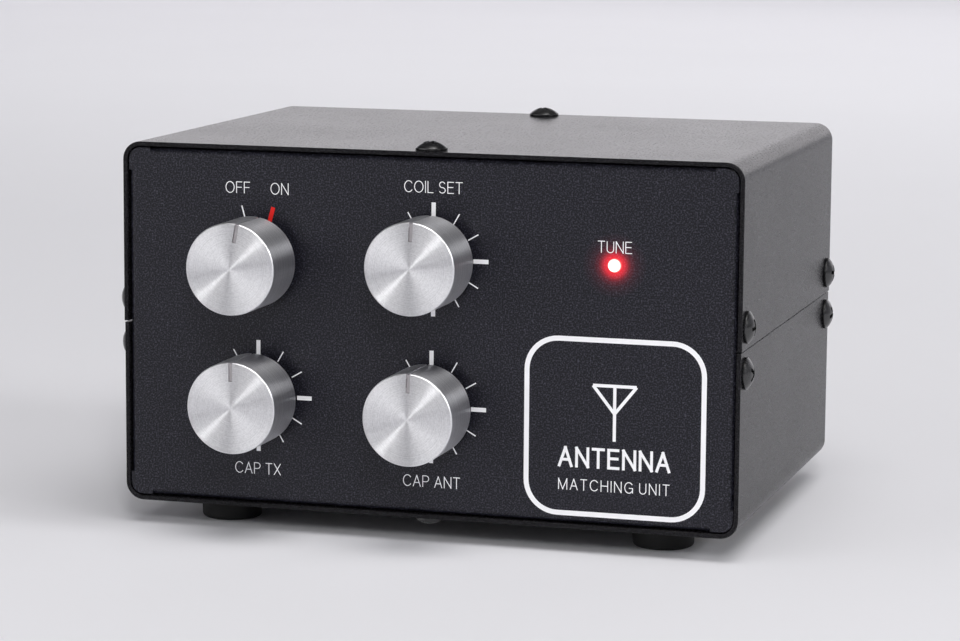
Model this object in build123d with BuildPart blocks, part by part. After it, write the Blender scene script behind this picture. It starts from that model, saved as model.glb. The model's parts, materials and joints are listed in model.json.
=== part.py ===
from build123d import *

import os
from math import cos, pi, radians, sin

os.makedirs("parts", exist_ok=True)

# A desk-top antenna tuner: a sheet metal box with four knobs and a lamp on its front,
# and two coaxial sockets, a power inlet and an earth screw on its back.
# Millimetres. Origin on the floor under the middle of the box. +X right seen from the
# front, +Y towards the back, +Z up.

# case
case_w = 140.0
case_h = 80.4
case_d = 100.8
sheet = 1.0
corner_r = 4.0
foot_h = 5.4
seam_gap = 0.3
rim_r = 0.3
lower_inset = 0.15
base_z = foot_h
mid_z = base_z + case_h / 2
top_z = base_z + case_h
floor_z = base_z + sheet

# front and rear panels: trays with four flanges bent back
panel_recess = 0.4
panel_gap = 0.25
bend_r = 1.5
flange_depth = 11.0
bend_stop = 6.3
face_y = case_d / 2 - panel_recess
inner_y = face_y - sheet
panel_w = case_w - 2 * sheet - 2 * panel_gap
panel_h = case_h - 2 * sheet - 2 * panel_gap

# cover screws
screw_inset = 4.5
screw_seam = 4.95
screw_y = case_d / 2 - screw_inset
head_r = 3.5
head_h = 2.0
head_edge = 0.5
m3_r = 1.45
m3_hole_r = 1.7
m3_tap_r = 1.5
nut_af = 5.5
nut_t = 2.4

# feet
foot_r = 6.75
foot_x = 50.2
foot_y = 35.3

# shafts: x and z of each of the four controls
power_at = (-38.5, base_z + 55.3)
coil_at = (1.8, base_z + 57.1)
tx_at = (-38.4, base_z + 25.1)
antenna_at = (1.5, base_z + 24.8)
lamp_at = (42.1, base_z + 57.6)
controls = [power_at, coil_at, tx_at, antenna_at]
shaft_r = 3.0
bush_r = 4.5
bush_bore_r = 3.05
bush_hole_r = 4.6
bush_end_y = -face_y - 2.9
shaft_end_y = -face_y - 14.2

# knobs
knob_r = 10.0
knob_back_y = -face_y - 3.5
knob_face_y = -face_y - 17.5
knob_bore_y = -face_y - 14.5
groove_w = 0.8
groove_l = 4.0
groove_t = 0.3
side_groove_w = 0.5
grub_y = -face_y - 8.0

# rear sockets
socket_x = 36.0
socket_z = mid_z
socket_end_y = face_y + 17.5
socket_flange = 25.4
socket_flange_t = 1.6
socket_bolt = 9.1
barrel_r = 7.9375
contact_bore_r = 2.05

# variable capacitors
plate_t = 0.5
plate_pitch = 2.2
rotor_count = 8
first_stator_y = -44.6
end_plate_t = 1.6
end_plate_w = 30.0
end_plate_h = 28.0
rod_x = 12.4
rod_z = 11.4
rod_r = 1.25
rear_plate_y = -23.4

# tapped coil and its twelve-way switch
core_r = 16.5
core_hole_r = 9.9
core_y = (-22.0, -11.0)
wire_r = 0.4
turn_step = 10
tap_first = 15
tap_step = 30
wafer_y = -36.0
wafer_t = 1.6
lug_t = 0.4

# circuit board
board_x = (24.0, 64.0)
board_y = (-28.0, 26.0)
board_z = floor_z + 6.0
board_t = 1.6
board_holes = [(28.0, -24.0), (60.0, -24.0), (28.0, 22.0), (60.0, 22.0)]
bracket_y = -9.6
bracket_holes = [(-6.2, -3.0), (9.8, -3.0)]


def finish(piece, label):
    piece.part.label = label
    export_step(piece.part, f"parts/{label}.step")


def facing(x, y, z, turn=0.0):
    """Plane square to Y whose own y axis points up, or turned clockwise seen from the front."""
    a = radians(turn)
    return Plane(origin=(x, y, z), x_dir=(cos(a), 0, -sin(a)), z_dir=(0, -1, 0))


def radial(x, y, z, turn):
    """Plane through a Y axis holding that axis and the direction at an angle from up."""
    a = radians(turn)
    return Plane(origin=(x, y, z), x_dir=(sin(a), 0, cos(a)), z_dir=(-cos(a), 0, sin(a)))


# ---- covers -------------------------------------------------------------------------
def cover(label, width, keep, holes_z):
    """Folded U of sheet: the half of a round-cornered tube that lies above or below the seam."""
    with BuildPart() as piece:
        with BuildSketch(facing(0, case_d / 2, mid_z)):
            RectangleRounded(width, case_h, corner_r)
            RectangleRounded(width - 2 * sheet, case_h - 2 * sheet, corner_r - sheet, mode=Mode.SUBTRACT)
            with Locations((0, -keep * (case_h / 2 - seam_gap / 2))):
                Rectangle(case_w + 10, case_h, mode=Mode.SUBTRACT)
        extrude(amount=case_d)
        fillet(piece.faces().filter_by(Axis.Y).edges(), radius=rim_r)
        with BuildSketch(Plane.YZ):
            with Locations((-screw_y, holes_z), (screw_y, holes_z)):
                Circle(m3_hole_r)
        extrude(amount=case_w, both=True, mode=Mode.SUBTRACT)
        with BuildSketch(Plane.XY.offset(mid_z)):
            with Locations((0, -screw_y), (0, screw_y)):
                Circle(m3_hole_r)
        extrude(amount=keep * case_h, mode=Mode.SUBTRACT)
    return piece


top_cover = cover("top_cover", case_w, 1, mid_z + screw_seam)
finish(top_cover, "top_cover")

with BuildPart() as bottom_cover:
    add(cover("bottom_cover", case_w - 2 * lower_inset, -1, mid_z - screw_seam).part)
    with BuildSketch(Plane.XY.offset(base_z)):
        with GridLocations(2 * foot_x, 2 * foot_y, 2, 2):
            Circle(m3_hole_r)
        with Locations(*board_holes):
            Circle(2.12)
        with Locations(*bracket_holes):
            Circle(m3_tap_r)
    extrude(amount=sheet, mode=Mode.SUBTRACT)
finish(bottom_cover, "bottom_cover")


# ---- front and rear panels ----------------------------------------------------------
def panel(side):
    """Tray with its four flanges bent inwards; side is -1 for the front and +1 for the back."""
    half_w = panel_w / 2
    half_h = panel_h / 2
    run_w = case_w / 2 - bend_stop
    run_h = case_h / 2 - bend_stop
    mid = sin(pi / 4)
    collar_r = 2.4
    collar_h = 1.2
    face_span = sorted((side * (face_y - 0.01), side * (face_y + 0.01)))
    with BuildPart() as piece:
        with BuildSketch(facing(0, side * (face_y - sheet / 2), mid_z)):
            RectangleRounded(panel_w, panel_h, corner_r - sheet - panel_gap)
            with Locations((half_w - bend_r / 2, 0), (bend_r / 2 - half_w, 0)):
                Rectangle(bend_r, 2 * run_h, mode=Mode.SUBTRACT)
            with Locations((0, half_h - bend_r / 2), (0, bend_r / 2 - half_h)):
                Rectangle(2 * run_w, bend_r, mode=Mode.SUBTRACT)
        extrude(amount=sheet / 2, both=True)
        corners = piece.edges().filter_by(GeomType.CIRCLE).filter_by_position(Axis.Y, *face_span)
        fillet(corners, radius=0.2)
        for plane, half, run in ((Plane.XY.offset(mid_z), half_w, run_h), (Plane.YZ, half_h, run_w)):
            for end in (-1, 1):
                flat = end * (half - bend_r)
                bend_y = side * (face_y - bend_r)
                thin_r = bend_r - sheet
                points = [
                    (flat, side * face_y),
                    (flat + end * bend_r * mid, bend_y + side * bend_r * mid),
                    (end * half, bend_y),
                    (end * half, side * (face_y - flange_depth)),
                    (end * (half - sheet), side * (face_y - flange_depth)),
                    (end * (half - sheet), bend_y),
                    (flat + end * thin_r * mid, bend_y + side * thin_r * mid),
                    (flat, side * inner_y),
                ]
                if plane.z_dir.X > 0.5:
                    points = [(y, mid_z + x) for x, y in points]
                with BuildSketch(plane):
                    with BuildLine():
                        ThreePointArc(points[0], points[1], points[2])
                        Polyline(points[2], points[3], points[4], points[5])
                        ThreePointArc(points[5], points[6], points[7])
                        Line(points[7], points[0])
                    make_face()
                extrude(amount=run, both=True)
        seats = [Plane(origin=(0, side * screw_y, mid_z + e * (half_h - sheet)), z_dir=(0, 0, -e)) for e in (-1, 1)]
        for e in (-1, 1):
            for up in (-1, 1):
                at = (e * (half_w - sheet), side * screw_y, mid_z + up * screw_seam)
                seats.append(Plane(origin=at, z_dir=(-e, 0, 0)))
        for seat in seats:
            with BuildSketch(seat):
                Circle(collar_r)
            extrude(amount=collar_h)
        for seat in seats:
            with BuildSketch(seat.offset(-sheet)):
                Circle(m3_tap_r)
            extrude(amount=sheet + collar_h, mode=Mode.SUBTRACT)
    return piece


with BuildPart() as front_panel:
    add(panel(-1).part)
    with BuildSketch(facing(0, -inner_y, 0)):
        with Locations(*controls):
            Circle(bush_hole_r)
        with Locations(lamp_at):
            Circle(1.55)
    extrude(amount=sheet, mode=Mode.SUBTRACT)
finish(front_panel, "front_panel")

jack_at = (0.0, base_z + 20.0)
earth_at = (0.0, base_z + 58.0)
neck_r = 6.3
sockets = [(-socket_x, socket_z), (socket_x, socket_z)]
socket_bolts = [
    (x + dx * socket_bolt, z + dz * socket_bolt)
    for x, z in sockets
    for dx in (-1, 1)
    for dz in (-1, 1)
]

with BuildPart() as rear_panel:
    add(panel(1).part)
    with BuildSketch(facing(0, face_y, 0)):
        with Locations(*sockets):
            Circle(neck_r + 0.2)
        with Locations(*socket_bolts):
            Circle(m3_hole_r)
        with Locations(jack_at):
            Circle(4.0)
        with Locations(earth_at):
            Circle(2.1)
    extrude(amount=sheet, mode=Mode.SUBTRACT)
finish(rear_panel, "rear_panel")


# ---- cover screws and feet ----------------------------------------------------------
def cross_screw(radius, height, edge, length, cross):
    """Domed screw standing on Z, the underside of its head at the origin, with a cross recess."""
    bow = (radius**2 + (height - edge) ** 2) / (2 * (height - edge))
    half = radius / 2
    crown = height - bow + (bow**2 - half**2) ** 0.5
    with BuildPart() as piece:
        with BuildSketch(Plane.XZ):
            with BuildLine():
                Polyline((0, -length), (m3_r, -length), (m3_r, 0), (radius, 0), (radius, edge))
                ThreePointArc((radius, edge), (half, crown), (0, height))
                Line((0, height), (0, -length))
            make_face()
        revolve(axis=Axis.Z)
        with BuildSketch(Plane.XY.offset(height)):
            Rectangle(cross, 0.8)
            Rectangle(0.8, cross)
        extrude(amount=-height * 0.7, taper=7, mode=Mode.SUBTRACT)
    return piece.part


cover_screw = cross_screw(head_r, head_h, head_edge, 6.0, 3.6)
short_screw = cross_screw(2.8, 2.0, 0.8, 5.0, 3.2)
long_screw = cross_screw(2.8, 2.0, 0.8, 7.6, 3.2)


def cover_seats(side_x, side_z, end_z, up):
    """Where the six screws of one cover sit: two in each side wall, and two on its broad face."""
    seats = []
    for y in (-screw_y, screw_y):
        for e in (-1, 1):
            seats.append(Plane(origin=(e * side_x, y, side_z), x_dir=(0, 1, 0), z_dir=(e, 0, 0)).location)
        seats.append(Plane(origin=(0, y, end_z), x_dir=(1, 0, 0), z_dir=(0, 0, up)).location)
    return seats


with BuildPart() as top_cover_screws:
    with Locations(*cover_seats(case_w / 2, mid_z + screw_seam, top_z, 1)):
        add(cover_screw)
finish(top_cover_screws, "top_cover_screws")

with BuildPart() as bottom_cover_screws:
    with Locations(*cover_seats(case_w / 2 - lower_inset, mid_z - screw_seam, base_z, -1)):
        add(cover_screw)
finish(bottom_cover_screws, "bottom_cover_screws")

foot_well = 2.7
with BuildPart() as rubber_feet:
    with BuildSketch():
        with GridLocations(2 * foot_x, 2 * foot_y, 2, 2):
            Circle(foot_r)
    extrude(amount=foot_h)
    fillet(rubber_feet.faces().sort_by(Axis.Z)[:4].edges(), radius=0.9)
    with BuildSketch():
        with GridLocations(2 * foot_x, 2 * foot_y, 2, 2):
            Circle(3.5)
    extrude(amount=foot_well, mode=Mode.SUBTRACT)
    with BuildSketch():
        with GridLocations(2 * foot_x, 2 * foot_y, 2, 2):
            Circle(m3_hole_r)
    extrude(amount=foot_h, mode=Mode.SUBTRACT)
finish(rubber_feet, "rubber_feet")

with BuildPart() as foot_screws:
    with Locations(Location((0, 0, foot_well), (180, 0, 0))):
        with GridLocations(2 * foot_x, 2 * foot_y, 2, 2):
            add(long_screw)
finish(foot_screws, "foot_screws")

with BuildPart() as foot_nuts:
    with BuildSketch(Plane.XY.offset(floor_z)):
        with GridLocations(2 * foot_x, 2 * foot_y, 2, 2):
            RegularPolygon(nut_af / 2, 6, major_radius=False)
            Circle(m3_tap_r, mode=Mode.SUBTRACT)
    extrude(amount=nut_t)
finish(foot_nuts, "foot_nuts")


# ---- knobs --------------------------------------------------------------------------
def knob(label, at, turn):
    """Turned aluminium knob with a pointer groove over its face and down its side."""
    x, z = at
    with BuildPart() as piece:
        with BuildSketch(facing(x, knob_back_y, z)):
            Circle(knob_r)
        extrude(amount=knob_back_y - knob_face_y)
        chamfer(piece.faces().sort_by(Axis.Y)[0].edges(), length=0.45)
        chamfer(piece.faces().sort_by(Axis.Y)[-1].edges(), length=0.3)
        with BuildSketch(facing(x, knob_back_y, z)):
            Circle(7.5)
        extrude(amount=1.0, mode=Mode.SUBTRACT)
        with BuildSketch(facing(x, knob_back_y, z)):
            Circle(shaft_r + 0.02)
        extrude(amount=knob_back_y - knob_bore_y, mode=Mode.SUBTRACT)
        with BuildSketch(facing(x, knob_face_y, z, turn)):
            with Locations((0, knob_r - groove_l / 2)):
                Rectangle(groove_w, groove_l)
        extrude(amount=-groove_t, mode=Mode.SUBTRACT)
        with BuildSketch(facing(x, knob_back_y, z, turn)):
            with Locations((0, knob_r)):
                Rectangle(side_groove_w, 0.4)
        extrude(amount=knob_back_y - knob_face_y, mode=Mode.SUBTRACT)
        with BuildSketch(Plane(origin=(x, grub_y, z), z_dir=radial(x, 0, z, turn + 180).x_dir)):
            Circle(m3_tap_r)
        extrude(amount=knob_r + 1, mode=Mode.SUBTRACT)
    finish(piece, label)


def grub_screw(label, at, turn):
    """Socket-headed grub screw in the side of a knob, bearing on its shaft."""
    x, z = at
    way = radial(x, 0, z, turn + 180).x_dir
    seat = Plane(origin=(x, grub_y, z), z_dir=way)
    with BuildPart() as piece:
        with BuildSketch(seat.offset(shaft_r + 0.02)):
            Circle(m3_r)
        extrude(amount=4.0)
        with BuildSketch(seat.offset(shaft_r + 4.02)):
            RegularPolygon(0.75, 6, major_radius=False)
        extrude(amount=-1.8, mode=Mode.SUBTRACT)
    finish(piece, label)


pointers = [("power", power_at, 10.0), ("coil", coil_at, 2.5), ("tx", tx_at, 0.0), ("antenna", antenna_at, 1.5)]
for name, at, turn in pointers:
    knob(f"{name}_knob", at, turn)
    grub_screw(f"{name}_grub_screw", at, turn)

washer_t = 0.5
with BuildPart() as shaft_washers:
    with BuildSketch(facing(0, -face_y, 0)):
        with Locations(*controls):
            Circle(6.4)
            Circle(bush_hole_r, mode=Mode.SUBTRACT)
    extrude(amount=washer_t)
finish(shaft_washers, "shaft_washers")

with BuildPart() as shaft_nuts:
    with BuildSketch(facing(0, -face_y - washer_t, 0)):
        with Locations(*controls):
            RegularPolygon(5.5, 6, major_radius=False)
            Circle(bush_r + 0.05, mode=Mode.SUBTRACT)
    extrude(amount=2.0)
finish(shaft_nuts, "shaft_nuts")


# ---- turned pieces ------------------------------------------------------------------
def turned(at, profiles):
    """Solid of revolution about a Y axis at each place, from (radius, y) corners."""
    with BuildPart() as piece:
        for x, z in at:
            for corners in profiles:
                with BuildSketch(Plane(origin=(x, 0, z), x_dir=(1, 0, 0), z_dir=(0, 0, 1))):
                    with BuildLine():
                        Polyline(*corners, close=True)
                    make_face()
                revolve(axis=Axis((x, 0, z), (0, 1, 0)))
    return piece


# ---- power switch -------------------------------------------------------------------
switch_back_y = -34.0
with BuildPart() as power_switch_body:
    with BuildSketch(facing(power_at[0], switch_back_y, power_at[1])):
        RectangleRounded(21, 21, 1.5)
    extrude(amount=inner_y + switch_back_y)
    with BuildSketch(facing(power_at[0], switch_back_y - 1.5, power_at[1])):
        Circle(9.0)
    extrude(amount=inner_y + switch_back_y - 3.5, mode=Mode.SUBTRACT)
    with BuildSketch(facing(power_at[0], -inner_y, power_at[1])):
        Circle(bush_r)
    extrude(amount=-bush_end_y - inner_y)
    with BuildSketch(facing(power_at[0], switch_back_y - 3.0, power_at[1])):
        Circle(bush_bore_r)
    extrude(amount=30, mode=Mode.SUBTRACT)
    with BuildSketch(facing(power_at[0], switch_back_y, power_at[1])):
        with Locations((-5, 0), (0, 5), (5, 0)):
            Rectangle(2.6, 0.6)
    extrude(amount=1.6, mode=Mode.SUBTRACT)
finish(power_switch_body, "power_switch_body")

with BuildPart() as power_switch_terminals:
    with BuildSketch(facing(power_at[0], switch_back_y + 6, power_at[1])):
        with Locations((-5, 0), (0, 5), (5, 0)):
            Rectangle(2.5, 0.5)
    extrude(amount=8.2)
    with BuildSketch(Plane.XY.offset(power_at[1] - 3)):
        with Locations(*[(power_at[0] + dx, switch_back_y + 4.2) for dx in (-5, 0, 5)]):
            Circle(0.7)
    extrude(amount=12, mode=Mode.SUBTRACT)
finish(power_switch_terminals, "power_switch_terminals")

with BuildPart() as power_switch_shaft:
    with BuildSketch(facing(power_at[0], -41.0, power_at[1])):
        Circle(shaft_r)
    extrude(amount=-shaft_end_y - 41.0)
    with BuildSketch(facing(power_at[0], -40.0, power_at[1], 15.0)):
        Circle(6.5)
        with Locations((0, 6.0)):
            Rectangle(3.0, 3.4)
    extrude(amount=3.5)
finish(power_switch_shaft, "power_switch_shaft")

# ---- coil selector switch -----------------------------------------------------------
cx, cz = coil_at
detent_back_y = -41.5
posts = [(-12.2, 0), (12.2, 0)]
with BuildPart() as coil_switch_frame:
    with BuildSketch(facing(cx, -inner_y + 1.5, cz)):
        RectangleRounded(29, 27, 2)
    extrude(amount=1.5)
    with BuildSketch(facing(cx, detent_back_y, cz)):
        Circle(10.6)
        Circle(9.9, mode=Mode.SUBTRACT)
    extrude(amount=inner_y - 1.5 + detent_back_y)
    with BuildSketch(facing(cx, -inner_y, cz)):
        Circle(bush_r)
    extrude(amount=-bush_end_y - inner_y)
    with BuildSketch(facing(cx, detent_back_y, cz)):
        Circle(bush_bore_r)
    extrude(amount=30, mode=Mode.SUBTRACT)
    with BuildSketch(facing(cx, -inner_y + 1.5, cz)):
        with Locations(*posts):
            Circle(0.95)
    extrude(amount=1.5, mode=Mode.SUBTRACT)
    with BuildSketch(facing(cx, detent_back_y, cz)):
        with Locations((0, -10)):
            Rectangle(8, 4)
    extrude(amount=4.0, mode=Mode.SUBTRACT)
finish(coil_switch_frame, "coil_switch_frame")

with BuildPart() as coil_switch_detent_wheel:
    with BuildSketch(facing(cx, -43.0, cz)):
        Circle(9.1)
        with PolarLocations(9.6, 12):
            Circle(1.1, mode=Mode.SUBTRACT)
        Circle(shaft_r + 0.02, mode=Mode.SUBTRACT)
    extrude(amount=2.5)
finish(coil_switch_detent_wheel, "coil_switch_detent_wheel")

with BuildPart() as coil_switch_detent_spring:
    with BuildSketch(facing(cx, -43.2, cz)):
        with Locations((0, -10.0)):
            Rectangle(9.4, 0.35)
        with Locations((0, -9.9)):
            Circle(0.45)
    extrude(amount=2.0)
finish(coil_switch_detent_spring, "coil_switch_detent_spring")

with BuildPart() as coil_switch_shaft:
    with BuildSketch(facing(cx, wafer_y + 3.5, cz)):
        Circle(shaft_r)
    extrude(amount=wafer_y + 3.5 - shaft_end_y)
finish(coil_switch_shaft, "coil_switch_shaft")

with BuildPart() as coil_switch_wafer:
    with BuildSketch(facing(cx, wafer_y, cz)):
        Circle(14.2)
        Circle(8.3, mode=Mode.SUBTRACT)
        with Locations(*posts):
            Circle(0.95, mode=Mode.SUBTRACT)
    extrude(amount=wafer_t)
finish(coil_switch_wafer, "coil_switch_wafer")

with BuildPart() as coil_switch_contacts:
    with BuildSketch(facing(cx, wafer_y + lug_t, cz)):
        with PolarLocations(12.1, 12, start_angle=tap_first):
            SlotOverall(6.6, 2.0)
        with PolarLocations(14.3, 12, start_angle=tap_first):
            Circle(0.5, mode=Mode.SUBTRACT)
    extrude(amount=lug_t)
finish(coil_switch_contacts, "coil_switch_contacts")

with BuildPart() as coil_switch_wiper:
    with BuildSketch(facing(cx, wafer_y, cz)):
        Circle(7.9)
        Circle(shaft_r + 0.02, mode=Mode.SUBTRACT)
    extrude(amount=wafer_t)
    with BuildSketch(facing(cx, wafer_y + 0.4, cz, 15.0)):
        with Locations((0, 5.8)):
            SlotOverall(5.4, 1.6, rotation=90)
    extrude(amount=0.4)
finish(coil_switch_wiper, "coil_switch_wiper")

with BuildPart() as coil_switch_posts:
    with BuildSketch(facing(cx, wafer_y - wafer_t, cz)):
        with Locations(*posts):
            Circle(1.35)
    extrude(amount=inner_y - 1.5 + wafer_y - wafer_t)
    with BuildSketch(facing(cx, wafer_y + 2.5, cz)):
        with Locations(*posts):
            Circle(0.9)
    extrude(amount=inner_y + wafer_y + 2.5)
    with BuildSketch(facing(cx, wafer_y + 1.6, cz)):
        with Locations(*posts):
            RegularPolygon(1.7, 6, major_radius=False)
    extrude(amount=1.6)
finish(coil_switch_posts, "coil_switch_posts")

# ---- tapped coil --------------------------------------------------------------------
with BuildPart() as coil_core:
    with BuildSketch(facing(cx, core_y[1], cz)):
        Circle(core_r)
        Circle(core_hole_r, mode=Mode.SUBTRACT)
    extrude(amount=core_y[1] - core_y[0])
    fillet(coil_core.edges().filter_by(GeomType.CIRCLE), radius=0.8)
finish(coil_core, "coil_core")


def wound(axis_planes, inner, outer, front, back, wire):
    """One separate turn of wire round a ring core in each radial plane."""
    gap = wire + 0.06
    middle = (inner + outer) / 2
    with BuildPart() as piece:
        for plane in axis_planes:
            with BuildLine(plane) as route:
                FilletPolyline(
                    (middle + 0.05, front - gap),
                    (outer + gap, front - gap),
                    (outer + gap, back + gap),
                    (inner - gap, back + gap),
                    (inner - gap, front - gap),
                    (middle, front - gap),
                    radius=wire * 1.6,
                )
            with BuildSketch(Plane(origin=route.line @ 0, z_dir=route.line % 0)):
                Circle(wire)
            sweep()
    return piece


turns = [radial(cx, 0, cz, a) for a in range(5, 360, turn_step)]
coil_winding = wound(turns, core_hole_r, core_r, core_y[0], core_y[1], wire_r)
finish(coil_winding, "coil_winding")


def wires(routes, wire, bend):
    """Round wires, each along its own run of straights joined by tangent bends."""
    with BuildPart() as piece:
        for points in routes:
            with BuildLine() as route:
                FilletPolyline(*points, radius=bend)
            with BuildSketch(Plane(origin=route.line @ 0, z_dir=route.line % 0)):
                Circle(wire)
            sweep()
    return piece


def tap_route(angle):
    """From a switch lug back and outwards to the turn of the coil at the same angle."""
    a = radians(angle)
    lug_y = wafer_y + 0.05
    turn_y = core_y[0] - 2 * wire_r - 0.1
    steps = [(14.3, lug_y), (14.3, wafer_y + 5), (16.4, turn_y - 4), (16.4, turn_y)]
    return [(cx + r * cos(a), y, cz + r * sin(a)) for r, y in steps]


tap_angles = range(tap_first, 360 + tap_first, tap_step)
coil_tap_wires = wires([tap_route(a) for a in tap_angles], wire_r, 1.2)
finish(coil_tap_wires, "coil_tap_wires")

foot_plate_t = 4.0
bracket_t = 1.6
bracket_half = 9.5
with BuildPart() as coil_bracket:
    with BuildSketch(facing(cx, bracket_y + bracket_t, cz)):
        Circle(bracket_half)
        with Locations((0, (floor_z - cz) / 2)):
            Rectangle(2 * bracket_half, cz - floor_z)
    extrude(amount=bracket_t)
    with BuildSketch(facing(cx, bracket_y, cz)):
        Circle(8.6)
    extrude(amount=bracket_y - core_y[0] + 0.6)
    with BuildSketch(Plane.XY.offset(floor_z)):
        with Locations((cx, bracket_y + bracket_t + 5)):
            Rectangle(2 * bracket_half, 10)
    extrude(amount=foot_plate_t)
    with BuildSketch(Plane.XY.offset(floor_z)):
        with Locations(*bracket_holes):
            Circle(m3_hole_r)
    extrude(amount=foot_plate_t, mode=Mode.SUBTRACT)
    with BuildSketch(facing(cx, bracket_y + bracket_t, cz)):
        Circle(5.0)
    extrude(amount=20, mode=Mode.SUBTRACT)
finish(coil_bracket, "coil_bracket")

# ---- variable capacitors ------------------------------------------------------------
capacitors = [("tx", tx_at), ("antenna", antenna_at)]
rods = [(x + dx * rod_x, z + dz * rod_z) for _, (x, z) in capacitors for dx in (-1, 1) for dz in (-1, 1)]
capacitor_places = [tx_at, antenna_at]

with BuildPart() as capacitor_end_plates:
    for plate_back in (-inner_y + end_plate_t, rear_plate_y + end_plate_t):
        with BuildSketch(facing(0, plate_back, 0)):
            with Locations(*capacitor_places):
                RectangleRounded(end_plate_w, end_plate_h, 1.5)
                Circle(bush_hole_r, mode=Mode.SUBTRACT)
            with Locations(*rods):
                Circle(rod_r + 0.05, mode=Mode.SUBTRACT)
        extrude(amount=end_plate_t)
finish(capacitor_end_plates, "capacitor_end_plates")

rod_end_y = rear_plate_y + 2.4
with BuildPart() as capacitor_rods:
    with BuildSketch(facing(0, rod_end_y, 0)):
        with Locations(*rods):
            Circle(rod_r)
    extrude(amount=rod_end_y + inner_y - 0.1)
finish(capacitor_rods, "capacitor_rods")

shoulder_y = -inner_y + end_plate_t
capacitor_bushings = turned(capacitor_places, [[
    (bush_bore_r, bush_end_y),
    (bush_r, bush_end_y),
    (bush_r, shoulder_y),
    (6.2, shoulder_y),
    (6.2, shoulder_y + 2),
    (bush_bore_r, shoulder_y + 2),
]])
finish(capacitor_bushings, "capacitor_bushings")

tail_r = 2.0
rear_face_y = rear_plate_y + end_plate_t
capacitor_bearings = turned(capacitor_places, [[
    (tail_r + 0.04, rear_plate_y - 0.5),
    (bush_r, rear_plate_y - 0.5),
    (bush_r, rear_face_y),
    (6.0, rear_face_y),
    (6.0, rear_face_y + 1),
    (tail_r + 0.04, rear_face_y + 1),
]])
finish(capacitor_bearings, "capacitor_bearings")

hub_r = 4.4
boss_r = 2.2
stack_gap = 0.02
notch_r = 5.4
for name, (x, z) in capacitors:
    shaft = turned([(x, z)], [[
        (0, shaft_end_y),
        (shaft_r, shaft_end_y),
        (shaft_r, rear_plate_y - 2),
        (tail_r, rear_plate_y - 2),
        (tail_r, rear_face_y + 1.4),
        (2.9, rear_face_y + 1.4),
        (2.9, rear_face_y + 2.2),
        (0, rear_face_y + 2.2),
    ]])
    finish(shaft, f"{name}_capacitor_shaft")
    with BuildPart() as rotor:
        for i in range(rotor_count):
            y = first_stator_y + plate_pitch * (i + 0.5)
            with BuildSketch(facing(x, y + plate_t / 2, z)):
                Circle(11.2)
                with Locations((0, -7.5)):
                    Rectangle(30, 15, mode=Mode.SUBTRACT)
                Circle(shaft_r + 0.02, mode=Mode.SUBTRACT)
            extrude(amount=plate_t)
            with BuildSketch(facing(x, y + (plate_pitch - stack_gap) / 2, z)):
                Circle(hub_r)
                Circle(shaft_r + 0.02, mode=Mode.SUBTRACT)
            extrude(amount=plate_pitch - stack_gap)
    finish(rotor, f"{name}_rotor_plates")
    with BuildPart() as stator:
        for i in range(rotor_count + 1):
            y = first_stator_y + plate_pitch * i
            with BuildSketch(facing(x, y + plate_t / 2, z)):
                with Locations((7.5, 0)):
                    RectangleRounded(13.4, 26.4, 1.2)
                Circle(notch_r, mode=Mode.SUBTRACT)
            extrude(amount=plate_t)
            with BuildSketch(facing(x, y + (plate_pitch - stack_gap) / 2, z)):
                with Locations((rod_x, rod_z), (rod_x, -rod_z)):
                    Circle(boss_r)
            extrude(amount=plate_pitch - stack_gap)
        with BuildSketch(facing(x, 0, z)):
            with Locations((rod_x, rod_z), (rod_x, -rod_z)):
                Circle(rod_r + 0.02)
        extrude(amount=inner_y, mode=Mode.SUBTRACT)
    finish(stator, f"{name}_stator_plates")

# ---- circuit board ------------------------------------------------------------------
board_top = board_z + board_t
board_mid = ((board_x[0] + board_x[1]) / 2, (board_y[0] + board_y[1]) / 2)
resistor_rows = (-16.0, -8.0, 0.0)
lead_x = (30.0, 46.0)
with BuildPart() as circuit_board:
    with BuildSketch(Plane.XY.offset(board_z)):
        with Locations(board_mid):
            RectangleRounded(board_x[1] - board_x[0], board_y[1] - board_y[0], 2)
        with Locations(*board_holes):
            Circle(m3_hole_r, mode=Mode.SUBTRACT)
        with Locations(*[(x, y) for x in lead_x for y in resistor_rows]):
            Circle(0.45, mode=Mode.SUBTRACT)
    extrude(amount=board_t)
finish(circuit_board, "circuit_board")

with BuildPart() as board_standoffs:
    with BuildSketch(Plane.XY.offset(floor_z)):
        with Locations(*board_holes):
            RegularPolygon(2.75, 6, major_radius=False)
    extrude(amount=board_z - floor_z)
    with BuildSketch(Plane.XY.offset(base_z)):
        with Locations(*board_holes):
            Circle(2.1)
    extrude(amount=sheet)
    with BuildSketch(Plane.XY.offset(floor_z)):
        with Locations(*board_holes):
            Circle(m3_tap_r)
    extrude(amount=board_z - floor_z, mode=Mode.SUBTRACT)
finish(board_standoffs, "board_standoffs")

with BuildPart() as inner_screws:
    with Locations(*[(x, y, board_top) for x, y in board_holes]):
        add(short_screw)
    with Locations(*[(x, y, floor_z + foot_plate_t) for x, y in bracket_holes]):
        add(short_screw)
finish(inner_screws, "inner_screws")

resistor_z = board_top + 3.2
lead_z = board_z - 1.2
with BuildPart() as bridge_resistors:
    for y in resistor_rows:
        with BuildSketch(Plane(origin=(33.5, y, resistor_z), z_dir=(1, 0, 0))):
            Circle(2.3)
        extrude(amount=9)
        with BuildLine() as lead:
            FilletPolyline(
                (lead_x[0], y, lead_z),
                (lead_x[0], y, resistor_z),
                (lead_x[1], y, resistor_z),
                (lead_x[1], y, lead_z),
                radius=0.8,
            )
        with BuildSketch(Plane(origin=lead.line @ 0, z_dir=lead.line % 0)):
            Circle(0.35)
        sweep()
    fillet(bridge_resistors.edges().filter_by(GeomType.CIRCLE).group_by(SortBy.RADIUS)[-1], radius=0.5)
finish(bridge_resistors, "bridge_resistors")

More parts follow.
